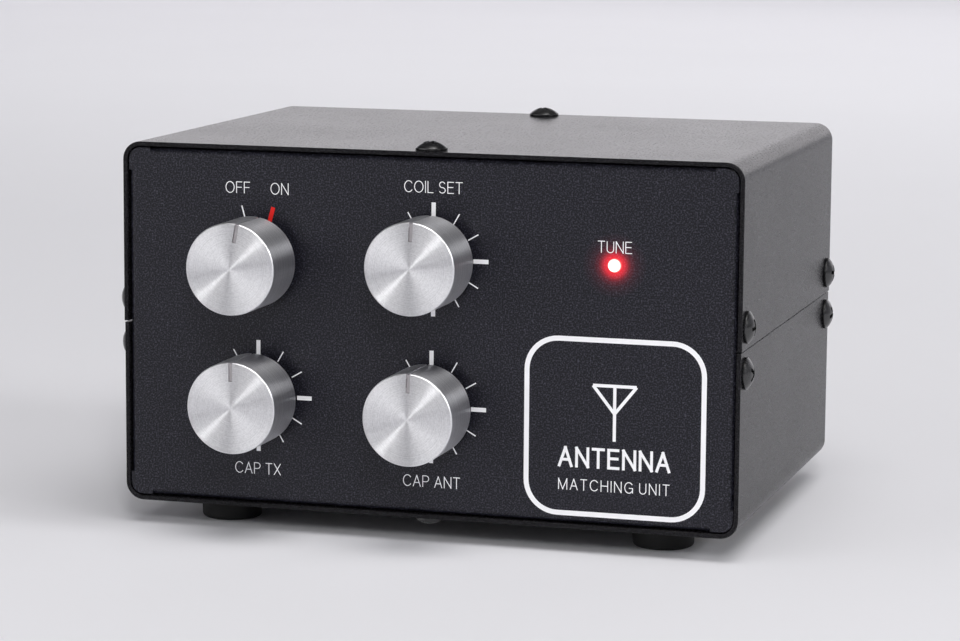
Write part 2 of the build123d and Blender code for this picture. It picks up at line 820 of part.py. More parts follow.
ring_at = (54.0, -2.0, board_top + 6.0)
ring_planes = [radial(ring_at[0], 0, ring_at[2], a) for a in range(0, 360, 36)]
ring_turns = wound(ring_planes, 2.4, 4.8, ring_at[1] - 2.4, ring_at[1] + 2.4, 0.3)
with BuildPart() as current_transformer:
    with BuildSketch(facing(ring_at[0], ring_at[1] + 2.4, ring_at[2])):
        Circle(4.8)
        Circle(2.4, mode=Mode.SUBTRACT)
    extrude(amount=4.8)
    fillet(current_transformer.edges(), radius=0.5)
    add(ring_turns.part)
finish(current_transformer, "current_transformer")

# ---- lamp ---------------------------------------------------------------------------
lamp_r = 1.5
lamp_tip_y = -face_y - 1.3
lamp_base_y = -46.5
with BuildPart() as lamp:
    with BuildSketch(Plane(origin=(lamp_at[0], 0, lamp_at[1]), x_dir=(1, 0, 0), z_dir=(0, 0, 1))):
        with BuildLine():
            ThreePointArc(
                (0, lamp_tip_y),
                (lamp_r * sin(pi / 4), lamp_tip_y + lamp_r * (1 - cos(pi / 4))),
                (lamp_r, lamp_tip_y + lamp_r),
            )
            Polyline(
                (lamp_r, lamp_tip_y + lamp_r),
                (lamp_r, lamp_base_y),
                (1.9, lamp_base_y),
                (1.9, lamp_base_y + 1),
                (0, lamp_base_y + 1),
                (0, lamp_tip_y),
            )
        make_face()
    revolve(axis=Axis((lamp_at[0], 0, lamp_at[1]), (0, 1, 0)))
    with BuildSketch(facing(lamp_at[0], -38.0, lamp_at[1])):
        with Locations((-1.27, 0), (1.27, 0)):
            Rectangle(0.5, 0.5)
    extrude(amount=-38.0 - lamp_base_y)
finish(lamp, "lamp")

lamp_holder = turned([lamp_at], [[
    (lamp_r + 0.05, -inner_y),
    (4.0, -inner_y),
    (4.0, lamp_base_y + 1.5),
    (1.95, lamp_base_y + 1.5),
    (1.95, lamp_base_y - 0.1),
    (lamp_r + 0.05, lamp_base_y - 0.1),
]])
finish(lamp_holder, "lamp_holder")

# ---- rear sockets -------------------------------------------------------------------
socket_face_y = face_y + socket_flange_t
shell_step_y = socket_end_y - 7.0
mouth_r = 6.4
insulator_y = socket_end_y - 5.5


def socket(label, at):
    """Flanged coaxial socket shell: square flange, neck through the panel and open barrel."""
    x, z = at
    with BuildPart() as piece:
        with BuildSketch(facing(x, socket_face_y, z)):
            RectangleRounded(socket_flange, socket_flange, 1.5)
            with GridLocations(2 * socket_bolt, 2 * socket_bolt, 2, 2):
                Circle(1.6, mode=Mode.SUBTRACT)
        extrude(amount=socket_flange_t)
        with BuildSketch(facing(x, face_y, z)):
            Circle(neck_r)
        extrude(amount=5.0)
        with BuildSketch(facing(x, socket_end_y, z)):
            Circle(barrel_r)
        extrude(amount=socket_end_y - socket_face_y)
        chamfer(piece.faces().sort_by(Axis.Y)[-1].edges(), length=0.6)
        with BuildSketch(facing(x, socket_end_y, z)):
            Circle(mouth_r)
        extrude(amount=7.0, mode=Mode.SUBTRACT)
        with BuildSketch(facing(x, socket_end_y, z)):
            with Locations((0, 7.2), (0, -7.2)):
                Rectangle(2.0, 3.0)
        extrude(amount=1.2, mode=Mode.SUBTRACT)
        with BuildSketch(facing(x, shell_step_y, z)):
            Circle(4.6)
        extrude(amount=30, mode=Mode.SUBTRACT)
    finish(piece, label)


socket("tx_socket", sockets[0])
socket("antenna_socket", sockets[1])

socket_insulators = turned(sockets, [[
    (2.95, face_y - 6.5),
    (4.55, face_y - 6.5),
    (4.55, shell_step_y),
    (mouth_r - 0.05, shell_step_y),
    (mouth_r - 0.05, insulator_y),
    (2.95, insulator_y),
]])
finish(socket_insulators, "socket_insulators")

contact_mouth_y = insulator_y + 0.4
contact_floor_y = contact_mouth_y - 14.0
socket_contacts = turned(sockets, [[
    (0, face_y - 12.5),
    (1.6, face_y - 12.5),
    (1.6, face_y - 7.0),
    (2.9, face_y - 7.0),
    (2.9, contact_mouth_y),
    (contact_bore_r, contact_mouth_y),
    (contact_bore_r, contact_floor_y),
    (0, contact_floor_y),
]])
finish(socket_contacts, "socket_contacts")

socket_seats = [
    Plane(origin=(x, socket_face_y, z), x_dir=(1, 0, 0), z_dir=(0, 1, 0)).location for x, z in socket_bolts
]
with BuildPart() as socket_screws:
    with Locations(*socket_seats):
        add(long_screw)
finish(socket_screws, "socket_screws")

with BuildPart() as socket_nuts:
    with BuildSketch(facing(0, inner_y, 0)):
        with Locations(*socket_bolts):
            RegularPolygon(nut_af / 2, 6, major_radius=False)
            Circle(m3_tap_r, mode=Mode.SUBTRACT)
    extrude(amount=nut_t)
finish(socket_nuts, "socket_nuts")

# ---- power inlet and earth screw ----------------------------------------------------
with BuildPart() as power_inlet:
    add(turned([jack_at], [[
        (0, 36.0),
        (3.95, 36.0),
        (3.95, face_y),
        (5.6, face_y),
        (5.6, face_y + 1.8),
        (2.85, face_y + 1.8),
        (2.85, 42.5),
        (1.05, 42.5),
        (1.05, face_y + 0.8),
        (0, face_y + 0.8),
    ]]).part)
    with BuildSketch(facing(jack_at[0], 36.5, jack_at[1])):
        with Locations((-3, 0), (3, 0)):
            Rectangle(0.5, 3)
    extrude(amount=5.5)
    with BuildSketch(facing(jack_at[0], inner_y, jack_at[1])):
        RegularPolygon(5.5, 6, major_radius=False)
        Circle(4.0, mode=Mode.SUBTRACT)
    extrude(amount=2.2)
finish(power_inlet, "power_inlet")

earth_washer_t = 0.8
with BuildPart() as earth_screw:
    with Locations(Plane(origin=(earth_at[0], face_y + 1.7, earth_at[1]), x_dir=(1, 0, 0), z_dir=(0, 1, 0)).location):
        add(cross_screw(3.9, 2.7, 1.0, 12.0, 4.4))
    for y in (face_y + earth_washer_t, face_y + 2 * earth_washer_t + 0.05):
        with BuildSketch(facing(earth_at[0], y, earth_at[1])):
            Circle(4.6)
            Circle(2.1, mode=Mode.SUBTRACT)
        extrude(amount=earth_washer_t)
    with BuildSketch(facing(earth_at[0], inner_y, earth_at[1])):
        RegularPolygon(3.5, 6, major_radius=False)
        Circle(m3_tap_r, mode=Mode.SUBTRACT)
    extrude(amount=3.0)
finish(earth_screw, "earth_screw")

# ---- hook-up wires ------------------------------------------------------------------
contact_end_y = face_y - 13.2
rod_tip_y = rod_end_y + 0.7
tx_rod = (tx_at[0] + rod_x, tx_at[1] + rod_z)
antenna_rod = (antenna_at[0] + rod_x, antenna_at[1] + rod_z)
pad_z = board_top + 0.1
lamp_wire_y = -37.3
switch_wire_y = switch_back_y + 6.7
hook_up = [
    [(-36, contact_end_y, socket_z), (-36, 20, socket_z), (tx_rod[0], 5, tx_rod[1]), (tx_rod[0], rod_tip_y, tx_rod[1])],
    [
        (36, contact_end_y, socket_z),
        (36, 25, socket_z),
        (antenna_rod[0], 8, antenna_rod[1]),
        (antenna_rod[0], rod_tip_y, antenna_rod[1]),
    ],
    [(-16.5, -16.5, 61), (-21, -16.5, 61), (tx_rod[0], -15, 55), (tx_rod[0], -15, tx_rod[1] + 1.3)],
    [
        (power_at[0] + 5, switch_wire_y, power_at[1]),
        (power_at[0] + 5, -5, power_at[1]),
        (-16, 12, 36),
        (jack_at[0] - 3, 22, jack_at[1]),
        (jack_at[0] - 3, 30.3, jack_at[1]),
    ],
    [
        (power_at[0] - 5, switch_wire_y, power_at[1]),
        (power_at[0] - 5, 8, power_at[1]),
        (power_at[0] - 5, 8, 10),
        (19, 8, 10),
        (19, 8, 19),
        (27, 8, 19),
        (27, 8, pad_z),
    ],
    [(3, 30.3, jack_at[1]), (3, 22, jack_at[1]), (30, 16, jack_at[1]), (30, 16, pad_z)],
]
for dx in (-1.27, 1.27):
    x = lamp_at[0] + dx
    hook_up.append([(x, lamp_wire_y, lamp_at[1]), (x, -31, lamp_at[1]), (x, -22, 50), (x, -22, pad_z)])
hookup_wires = wires(hook_up, 0.6, 2.5)
finish(hookup_wires, "hookup_wires")
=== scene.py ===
import json
import math

import bmesh
import bpy
import numpy as np
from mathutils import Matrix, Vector


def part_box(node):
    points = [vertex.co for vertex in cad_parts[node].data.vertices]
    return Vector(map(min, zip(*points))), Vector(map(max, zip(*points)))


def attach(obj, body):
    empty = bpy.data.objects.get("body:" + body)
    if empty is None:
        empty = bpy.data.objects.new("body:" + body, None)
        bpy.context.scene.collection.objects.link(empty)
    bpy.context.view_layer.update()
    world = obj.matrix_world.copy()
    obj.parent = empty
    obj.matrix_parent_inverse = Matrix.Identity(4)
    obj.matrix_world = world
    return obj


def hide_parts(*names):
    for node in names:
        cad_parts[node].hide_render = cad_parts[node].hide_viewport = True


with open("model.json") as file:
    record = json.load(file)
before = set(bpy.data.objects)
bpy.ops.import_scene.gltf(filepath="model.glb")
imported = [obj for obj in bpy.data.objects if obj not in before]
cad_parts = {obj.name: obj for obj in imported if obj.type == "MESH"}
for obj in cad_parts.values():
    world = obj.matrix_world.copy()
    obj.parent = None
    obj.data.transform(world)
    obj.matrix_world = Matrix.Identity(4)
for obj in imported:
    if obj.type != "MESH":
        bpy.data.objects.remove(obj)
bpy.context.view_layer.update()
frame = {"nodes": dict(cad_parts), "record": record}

mm = 0.001
nodes = frame["nodes"]
tau = 2 * math.pi


def addMesh(name, verts, faces, uvs=None, sharp=32, clean=True):
    # puts points and faces into a new object at the origin; doubles merge, faces turn outwards,
    # and edges that turn by more than sharp degrees stay crisp
    mesh = bpy.data.meshes.new(name)
    mesh.from_pydata(verts.tolist(), [], faces)
    if uvs is not None:
        layer = mesh.uv_layers.new(name="along")
        loopVerts = np.zeros(len(mesh.loops), np.int32)
        mesh.loops.foreach_get("vertex_index", loopVerts)
        layer.data.foreach_set("uv", uvs[loopVerts].astype(np.float32).ravel())
    if clean:
        bm = bmesh.new()
        bm.from_mesh(mesh)
        bmesh.ops.remove_doubles(bm, verts=bm.verts, dist=2e-7)
        bmesh.ops.dissolve_degenerate(bm, edges=bm.edges, dist=1e-7)
        bmesh.ops.recalc_face_normals(bm, faces=bm.faces)
        bm.to_mesh(mesh)
        bm.free()
    mesh.polygons.foreach_set("use_smooth", [True] * len(mesh.polygons))
    mesh.set_sharp_from_angle(angle=math.radians(sharp))
    mesh.update()
    piece = bpy.data.objects.new(name, mesh)
    bpy.context.scene.collection.objects.link(piece)
    return piece


def gridFaces(rows, cols, start=0):
    # quads of a rows by cols grid: each joins a point with its right, upper right and upper neighbours
    i, j = np.meshgrid(np.arange(rows - 1), np.arange(cols - 1), indexing="ij")
    a = (start + i * cols + j).ravel()
    return np.stack([a, a + 1, a + cols + 1, a + cols], 1)


def gridPiece(name, grids, sharp=32, caps=False, uvs=None):
    # one object from several grids, each (rows, cols, 3); caps closes the first and last row of each
    verts, faces, start = [], [], 0
    for grid in grids:
        rows, cols = grid.shape[:2]
        verts.append(grid.reshape(-1, 3))
        faces += gridFaces(rows, cols, start).tolist()
        if caps:
            faces.append(list(range(start + cols - 2, start - 1, -1)))
            faces.append(list(range(start + (rows - 1) * cols, start + rows * cols - 1)))
        start += rows * cols
    uvs = None if uvs is None else np.concatenate([u.reshape(-1, 2) for u in uvs])
    return addMesh(name, np.concatenate(verts), faces, uvs, sharp)


def turnedGrid(profile, at, axis="y", steps=72):
    # surface of revolution: each (radius, height) of the profile swept round a line through at along axis
    r, h = np.array(profile, float).T
    a = np.linspace(0, tau, steps + 1)
    x, z = r[:, None] * np.sin(a), r[:, None] * np.cos(a)
    y = np.repeat(h[:, None], steps + 1, 1)
    order = {"y": (x, y, z), "-y": (x, -y, z), "z": (x, z, y), "-z": (x, z, -y), "x": (y, x, z),
             "-x": (-y, x, z)}[axis]
    return np.stack(order, 2) + np.array(at, float)


class Shader:
    # a new node material with its Principled shader, and short ways to add and join nodes
    def __init__(self, name, **values):
        self.material = bpy.data.materials.new(name)
        self.material.use_nodes = True
        self.tree = self.material.node_tree
        self.principled = self.tree.nodes["Principled BSDF"]
        for key, value in values.items():
            self.principled.inputs[key.replace("_", " ")].default_value = value

    def node(self, kind, inputs=(), **settings):
        node = self.tree.nodes.new("ShaderNode" + kind)
        for key, value in settings.items():
            setattr(node, key, value)
        for key, value in dict(inputs).items():
            if isinstance(value, bpy.types.NodeSocket):
                self.tree.links.new(value, node.inputs[key])
            else:
                node.inputs[key].default_value = value
        return node

    def group(self, tree, **inputs):
        node = self.tree.nodes.new("ShaderNodeGroup")
        node.node_tree = tree
        for key, value in inputs.items():
            if isinstance(value, bpy.types.NodeSocket):
                self.tree.links.new(value, node.inputs[key])
            else:
                node.inputs[key].default_value = value
        return node

    def feed(self, name, socket):
        self.tree.links.new(socket, self.principled.inputs[name])

    def objectPoint(self):
        return self.node("TexCoord").outputs["Object"]

    def bump(self, height, strength, distance, normal=None):
        inputs = {"Height": height, "Strength": strength, "Distance": distance}
        if normal is not None:
            inputs["Normal"] = normal
        return self.node("Bump", inputs).outputs["Normal"]

    def ramp(self, factor, stops, interpolation="LINEAR"):
        node = self.node("ValToRGB", {"Fac": factor})
        node.color_ramp.interpolation = interpolation
        elements = node.color_ramp.elements
        while len(elements) < len(stops):
            elements.new(0.5)
        for element, (place, value) in zip(elements, stops):
            element.position = place
            element.color = value if len(value) == 4 else (*value, 1)
        return node.outputs["Color"]

    def remap(self, value, low, high, outLow, outHigh):
        inputs = {"Value": value, "From Min": low, "From Max": high, "To Min": outLow, "To Max": outHigh}
        return self.node("MapRange", inputs).outputs["Result"]


class Group(Shader):
    # a shader node group with named inputs and outputs
    def __init__(self, name, inputs, outputs):
        self.tree = bpy.data.node_groups.new(name, "ShaderNodeTree")
        for label, kind, value in inputs:
            socket = self.tree.interface.new_socket(label, in_out="INPUT", socket_type="NodeSocket" + kind)
            socket.default_value = value
        for label, kind in outputs:
            self.tree.interface.new_socket(label, in_out="OUTPUT", socket_type="NodeSocket" + kind)
        self.source = self.tree.nodes.new("NodeGroupInput").outputs
        self.sink = self.tree.nodes.new("NodeGroupOutput").inputs

    def give(self, label, socket):
        self.tree.links.new(socket, self.sink[label])


def makeGrain():
    # sand-like powder coat: fine grain as a height, painted glints as bright specks the size of the grains on
    # its peaks and bead tops, painted shade where the fine grain is low, slow mottling
    g = Group(
        "sandGrainWithGlints",
        [("Vector", "Vector", (0, 0, 0)), ("Scale", "Float", 1600.0),
         ("Base", "Color", (0.02, 0.02, 0.022, 1)),
         ("Speck", "Color", (0.3, 0.3, 0.34, 1)), ("Amount", "Float", 0.3), ("Roughness", "Float", 0.5)],
        [("Color", "Color"), ("Roughness", "Float"), ("Height", "Float")],
    )
    s = g.source
    fine = g.node("TexNoise", {"Vector": s["Vector"], "Scale": s["Scale"], "Detail": 1.0,
                               "Roughness": 0.5}).outputs["Fac"]
    coarse = g.node("Math", {0: s["Scale"], 1: 0.6}, operation="MULTIPLY").outputs[0]
    cells = g.node("TexVoronoi", {"Vector": s["Vector"], "Scale": coarse, "Randomness": 1.0}, feature="F1")
    slow = g.node("TexNoise",
                  {"Vector": s["Vector"], "Scale": 35.0, "Detail": 4.0, "Roughness": 0.55}).outputs["Fac"]
    bead = g.remap(cells.outputs["Distance"], 0.0, 0.6, 1.0, 0.0)
    height = g.node("Mix", {"Factor": 0.45, "A": fine, "B": bead}, data_type="FLOAT").outputs["Result"]
    g.give("Height", height)
    pick = g.node("SeparateColor", {"Color": cells.outputs["Color"]}).outputs["Red"]
    # painted glints: bright specks on the tops of some beads and where the fine grain is high
    spark = g.node("Math", {0: g.remap(pick, 0.86, 0.97, 0.0, 1.0), 1: g.remap(bead, 0.35, 0.75, 0.0, 1.0)},
                   operation="MULTIPLY")
    paintedGlint = g.remap(fine, 0.5, 0.74, 0.0, 0.75)
    paintedGlint = g.node("Math", {0: paintedGlint, 1: spark.outputs[0]}, operation="MAXIMUM").outputs[0]
    paintedGlint = g.node("Math", {0: paintedGlint, 1: s["Amount"]}, operation="MULTIPLY").outputs[0]
    # painted shade: darker where the fine grain is low, times a slow random mottling
    shade = g.remap(fine, 0.3, 0.55, 0.35, 1.15)
    shade = g.node("Math", {0: shade, 1: g.remap(slow, 0.3, 0.7, 0.94, 1.06)},
                   operation="MULTIPLY").outputs[0]
    shadeAndMottle = g.node("HueSaturation", {"Value": shade, "Color": s["Base"]}).outputs["Color"]
    g.give("Color",
           g.node("MixRGB", {"Fac": paintedGlint, "Color1": shadeAndMottle, "Color2": s["Speck"]}).outputs["Color"])
    rough = g.remap(slow, 0.3, 0.7, -0.012, 0.012)
    rough = g.node("Math", {0: rough, 1: s["Roughness"]}, operation="ADD").outputs[0]
    dip = g.remap(height, 0.3, 0.7, 0.04, -0.04)
    g.give("Roughness", g.node("Math", {0: rough, 1: dip}, operation="ADD").outputs[0])
    return g.tree


def makeWear():
    # edge wear: how far a rounded normal leans from the true one, broken up by noise
    g = Group(
        "edgeWear",
        [("Vector", "Vector", (0, 0, 0)), ("Width", "Float", 0.0003), ("Scale", "Float", 900.0),
         ("Amount", "Float", 1.0)],
        [("Mask", "Float")],
    )
    s = g.source
    soft = g.node("Bevel", {"Radius": s["Width"]}, samples=4).outputs["Normal"]
    true = g.node("NewGeometry").outputs["Normal"]
    lean = g.node("VectorMath", {0: soft, 1: true}, operation="DOT_PRODUCT").outputs["Value"]
    edge = g.remap(lean, 0.98, 0.80, 0.0, 1.0)
    chips = g.node("TexNoise", {"Vector": s["Vector"], "Scale": s["Scale"], "Detail": 4.0}).outputs["Fac"]
    chips = g.remap(chips, 0.42, 0.62, 0.0, 1.0)
    mask = g.node("Math", {0: edge, 1: chips}, operation="MULTIPLY").outputs[0]
    g.give("Mask", g.node("Math", {0: mask, 1: s["Amount"]}, operation="MULTIPLY").outputs[0])
    return g.tree


def makeDust():
    # fine dust that lies on upward faces, patchy
    g = Group("fineDust", [("Vector", "Vector", (0, 0, 0)), ("Amount", "Float", 0.1)], [("Mask", "Float")])
    s = g.source
    up = g.node("SeparateXYZ", {"Vector": g.node("NewGeometry").outputs["Normal"]}).outputs["Z"]
    up = g.remap(up, 0.4, 1.0, 0.0, 1.0)
    patches = g.node("TexNoise",
                     {"Vector": s["Vector"], "Scale": 60.0, "Detail": 8.0, "Roughness": 0.7}).outputs["Fac"]
    patches = g.remap(patches, 0.4, 0.75, 0.0, 1.0)
    mask = g.node("Math", {0: up, 1: patches}, operation="MULTIPLY").outputs[0]
    g.give("Mask", g.node("Math", {0: mask, 1: s["Amount"]}, operation="MULTIPLY").outputs[0])
    return g.tree


def makeSurface():
    # worked surface of metal or plastic: fine grain height, smudgy roughness and slight colour drift
    g = Group(
        "handledSurface",
        [("Vector", "Vector", (0, 0, 0)), ("Base", "Color", (0.5, 0.5, 0.5, 1)), ("Grain", "Float", 2500.0),
         ("Roughness", "Float", 0.4), ("Drift", "Float", 0.08)],
        [("Color", "Color"), ("Roughness", "Float"), ("Height", "Float")],
    )
    s = g.source
    grain = g.node("TexNoise", {"Vector": s["Vector"], "Scale": s["Grain"], "Detail": 2.0}).outputs["Fac"]
    smudge = g.node("TexNoise",
                    {"Vector": s["Vector"], "Scale": 140.0, "Detail": 5.0, "Roughness": 0.6}).outputs["Fac"]
    drift = g.remap(smudge, 0.25, 0.75, -1.0, 1.0)
    drift = g.node("Math", {0: drift, 1: s["Drift"]}, operation="MULTIPLY").outputs[0]
    value = g.node("Math", {0: drift, 1: 1.0}, operation="ADD").outputs[0]
    g.give("Color", g.node("HueSaturation", {"Value": value, "Color": s["Base"]}).outputs["Color"])
    rough = g.node("Math", {0: drift, 1: s["Roughness"]}, operation="ADD").outputs[0]
    grit = g.remap(grain, 0.3, 0.7, -0.03, 0.03)
    g.give("Roughness", g.node("Math", {0: rough, 1: grit}, operation="ADD").outputs[0])
    g.give("Height", grain)
    return g.tree


sandGrainWithGlints, edgeWear, fineDust, handledSurface = makeGrain(), makeWear(), makeDust(), makeSurface()

# the glint colour and its amount paint the grain's glints as bright specks on the paint
casePaintSet = {
    "base": (0.0075, 0.007, 0.0085, 1),
    "paintedGlint": (0.05, 0.05, 0.056, 1),
    "amount": 0.6,
    "roughness": 0.25,
    "specular": 0.13,
    "scale": 2900.0,
    "bump": 0.09,
    "depth": 0.0001,
}
panelPaintSet = {
    "base": (0.0062, 0.006, 0.0105, 1),
    "paintedGlint": (0.085, 0.085, 0.115, 1),
    "amount": 0.75,
    "roughness": 0.33,
    "specular": 0.30,
    "scale": 2900.0,
    "bump": 0.08,
    "depth": 0.0001,
}


def sandPaint(name, s, paintedGlow=None):
    m = Shader(name, Specular_IOR_Level=s["specular"])
    point = m.objectPoint()
    grain = m.group(sandGrainWithGlints, Vector=point, Scale=s["scale"], Base=s["base"], Speck=s["paintedGlint"],
                    Amount=s["amount"],
                    Roughness=s["roughness"])
    dust = m.group(fineDust, Vector=point, Amount=0.02).outputs["Mask"]
    wear = m.group(edgeWear, Vector=point, Width=0.00018, Scale=900.0, Amount=0.12).outputs["Mask"]
    color = m.node("MixRGB", {"Fac": dust, "Color1": grain.outputs["Color"],
                              "Color2": (0.4, 0.38, 0.35, 1)}).outputs["Color"]
    color = m.node("MixRGB", {"Fac": wear, "Color1": color, "Color2": (0.12, 0.12, 0.13, 1)}).outputs["Color"]
    m.feed("Base Color", color)
    m.feed("Roughness", grain.outputs["Roughness"])
    m.feed("Normal", m.bump(grain.outputs["Height"], s["bump"], s["depth"]))
    # painted glow: red emission in the panel paint that fades with distance from the lamp, standing in for
    # the lit lamp's light falling on the panel
    if paintedGlow:
        away = m.node("VectorMath", {0: point, 1: paintedGlow["at"]}, operation="DISTANCE").outputs["Value"]
        paintedLight = m.ramp(m.remap(away, 0.0, paintedGlow["reach"], 0.0, 1.0), paintedGlow["stops"], "EASE")
        m.feed("Emission Color", paintedLight)
        m.principled.inputs["Emission Strength"].default_value = paintedGlow["strength"]
    return m.material


def metalFinish(name, color, roughness, grain=3000.0, bump=0.08, drift=0.06, wear=0.0,
                wearColor=(0.8, 0.8, 0.8, 1), specular=0.5):
    m = Shader(name, Metallic=1.0, Specular_IOR_Level=specular)
    point = m.objectPoint()
    look = m.group(handledSurface, Vector=point, Base=color, Grain=grain, Roughness=roughness, Drift=drift)
    color = look.outputs["Color"]
    if wear:
        mask = m.group(edgeWear, Vector=point, Width=0.00025, Scale=1500.0, Amount=wear).outputs["Mask"]
        color = m.node("MixRGB", {"Fac": mask, "Color1": color, "Color2": wearColor}).outputs["Color"]
    m.feed("Base Color", color)
    m.feed("Roughness", look.outputs["Roughness"])
    m.feed("Normal", m.bump(look.outputs["Height"], bump, 0.00005))
    return m.material


def plasticFinish(name, color, roughness, grain=4000.0, bump=0.1, drift=0.05, **more):
    m = Shader(name, **more)
    point = m.objectPoint()
    look = m.group(handledSurface, Vector=point, Base=color, Grain=grain, Roughness=roughness, Drift=drift)
    dust = m.group(fineDust, Vector=point, Amount=0.05).outputs["Mask"]
    m.feed("Base Color", m.node("MixRGB", {"Fac": dust, "Color1": look.outputs["Color"],
                                           "Color2": (0.5, 0.47, 0.43, 1)}).outputs["Color"])
    m.feed("Roughness", look.outputs["Roughness"])
    m.feed("Normal", m.bump(look.outputs["Height"], bump, 0.00004))
    return m.material


lampLow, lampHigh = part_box("lamp")
lampAxis = ((lampLow.x + lampHigh.x) / 2, (lampLow.z + lampHigh.z) / 2)
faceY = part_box("front_panel")[0].y
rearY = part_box("rear_panel")[1].y
print("tools ready")


# painted glow of the lit lamp on the front panel: its centre, reach, red ramp and strength
paintedLampGlow = {
    "at": (lampAxis[0], faceY, lampAxis[1]),
    "reach": 0.0072,
    "strength": 1.0,
    "stops": [(0.20, (0.85, 0.020, 0.030)), (0.30, (0.70, 0.014, 0.028)), (0.37, (0.42, 0.010, 0.020)),
              (0.43, (0.19, 0.006, 0.012)),
              (0.52, (0.075, 0.003, 0.007)), (0.66, (0.022, 0.001, 0.003)), (0.85, (0.006, 0.0003, 0.001)),
              (1.0, (0.0, 0.0, 0.0))],
}


def ringStripes():
    # resistor body: lacquer with painted bands across its length
    m = Shader("resistorBody")
    point = m.objectPoint()
    x = m.node("SeparateXYZ", {"Vector": point}).outputs["X"]
    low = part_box("bridge_resistors")[0].x + 3.85 * mm
    along = m.remap(x, low, low + 9 * mm, 0.0, 1.0)
    lacquer, brown, black = (0.30, 0.42, 0.50), (0.12, 0.04, 0.015), (0.01, 0.01, 0.01)
    stops = [(0.0, lacquer), (0.16, brown), (0.25, lacquer), (0.34, black), (0.43, lacquer), (0.52, black),
             (0.61, lacquer),
             (0.80, brown), (0.88, lacquer)]
    look = m.group(handledSurface, Vector=point, Base=(*lacquer, 1), Grain=3000.0, Roughness=0.4, Drift=0.05)
    m.feed("Base Color", m.ramp(along, stops, "CONSTANT"))
    m.feed("Roughness", look.outputs["Roughness"])
    m.feed("Normal", m.bump(look.outputs["Height"], 0.1, 0.00004))
    return m.material


def boardTracks():
    # circuit board: solder mask over a grid of tracks that stand slightly proud
    m = Shader("boardLaminate", Specular_IOR_Level=0.55)
    point = m.objectPoint()
    tracks = m.node("TexBrick", {"Vector": point, "Scale": 160.0, "Mortar Size": 0.035, "Mortar Smooth": 0.2,
                                 "Color1": (0.012, 0.10, 0.035, 1), "Color2": (0.012, 0.115, 0.04, 1),
                                 "Mortar": (0.03, 0.23, 0.08, 1)})
    look = m.group(handledSurface, Vector=point, Base=(0.02, 0.15, 0.05, 1), Grain=1500.0, Roughness=0.3,
                   Drift=0.06)
    m.feed("Base Color", tracks.outputs["Color"])
    m.feed("Roughness", look.outputs["Roughness"])
    m.feed("Normal", m.bump(tracks.outputs["Fac"], 0.3, 0.00003))
    return m.material


def lampLens():
    # lit lamp: white-hot at its axis, red towards its skin
    m = Shader("lampLens", Roughness=0.12, Specular_IOR_Level=0.6)
    point = m.objectPoint()
    flat = m.node("VectorMath", {0: point, 1: (1, 0, 1)}, operation="MULTIPLY").outputs["Vector"]
    away = m.node("VectorMath", {0: flat, 1: (lampAxis[0], 0, lampAxis[1])},
                  operation="DISTANCE").outputs["Value"]
    near = m.remap(away, 0.0, 1.5 * mm, 0.0, 1.0)
    m.feed("Base Color", m.ramp(near, [(0.0, (0.9, 0.3, 0.28)), (1.0, (0.5, 0.01, 0.01))]))
    hot = [(0.0, (1.0, 0.92, 0.9)), (0.86, (1.0, 0.85, 0.8)), (0.94, (1.0, 0.25, 0.22)),
           (1.0, (0.9, 0.03, 0.035))]
    m.feed("Emission Color", m.ramp(near, hot))
    m.principled.inputs["Emission Strength"].default_value = 1.6
    swirl = m.node("TexNoise", {"Vector": point, "Scale": 1500.0, "Detail": 2.0}).outputs["Fac"]
    m.feed("Normal", m.bump(swirl, 0.03, 0.00002))
    return m.material


def footRubber():
    m = Shader("footRubber", Specular_IOR_Level=0.35)
    point = m.objectPoint()
    look = m.group(handledSurface, Vector=point, Base=(0.011, 0.011, 0.011, 1), Grain=2200.0,
                   Roughness=0.72, Drift=0.1)
    dust = m.group(fineDust, Vector=point, Amount=0.2).outputs["Mask"]
    m.feed("Base Color", m.node("MixRGB", {"Fac": dust, "Color1": look.outputs["Color"],
                                           "Color2": (0.25, 0.24, 0.22, 1)}).outputs["Color"])
    m.feed("Roughness", look.outputs["Roughness"])
    m.feed("Normal", m.bump(look.outputs["Height"], 0.25, 0.00006))
    return m.material


def knobMetal(name, anisotropic, roughness, rings, depth, color=(0.80, 0.80, 0.815, 1)):
    # turned aluminium: fine rings that follow the tool, with a long highlight across them
    m = Shader(name, Metallic=1.0, Anisotropic=anisotropic, Anisotropic_Rotation=0.25)
    split = m.node("SeparateXYZ", {"Vector": m.node("UVMap", uv_map="along").outputs["UV"]})
    ring = m.node("TexNoise", {"W": split.outputs["Y"], "Scale": rings, "Detail": 3.0, "Roughness": 0.7},
                  noise_dimensions="1D").outputs["Fac"]
    look = m.group(handledSurface, Vector=m.objectPoint(), Base=color, Grain=5000.0, Roughness=roughness,
                   Drift=0.015)
    spark = m.node("TexNoise", {"Vector": m.objectPoint(), "Scale": 3400.0, "Detail": 1.0}).outputs["Fac"]
    lively = m.node("Math", {0: m.remap(ring, 0.3, 0.7, 1 - depth, 1 + 0.8 * depth),
                             1: m.remap(spark, 0.3, 0.7, 0.92, 1.07)}, operation="MULTIPLY")
    value = lively.outputs[0]
    m.feed("Base Color",
           m.node("HueSaturation", {"Value": value, "Color": look.outputs["Color"]}).outputs["Color"])
    rough = m.node("Math", {0: look.outputs["Roughness"], 1: m.remap(ring, 0.3, 0.7, 0.03, -0.03)},
                   operation="ADD")
    m.feed("Roughness", rough.outputs[0])
    m.feed("Normal", m.bump(ring, 0.08, 0.00002))
    m.feed("Tangent", m.node("Tangent", direction_type="UV_MAP", uv_map="along").outputs["Tangent"])
    return m.material


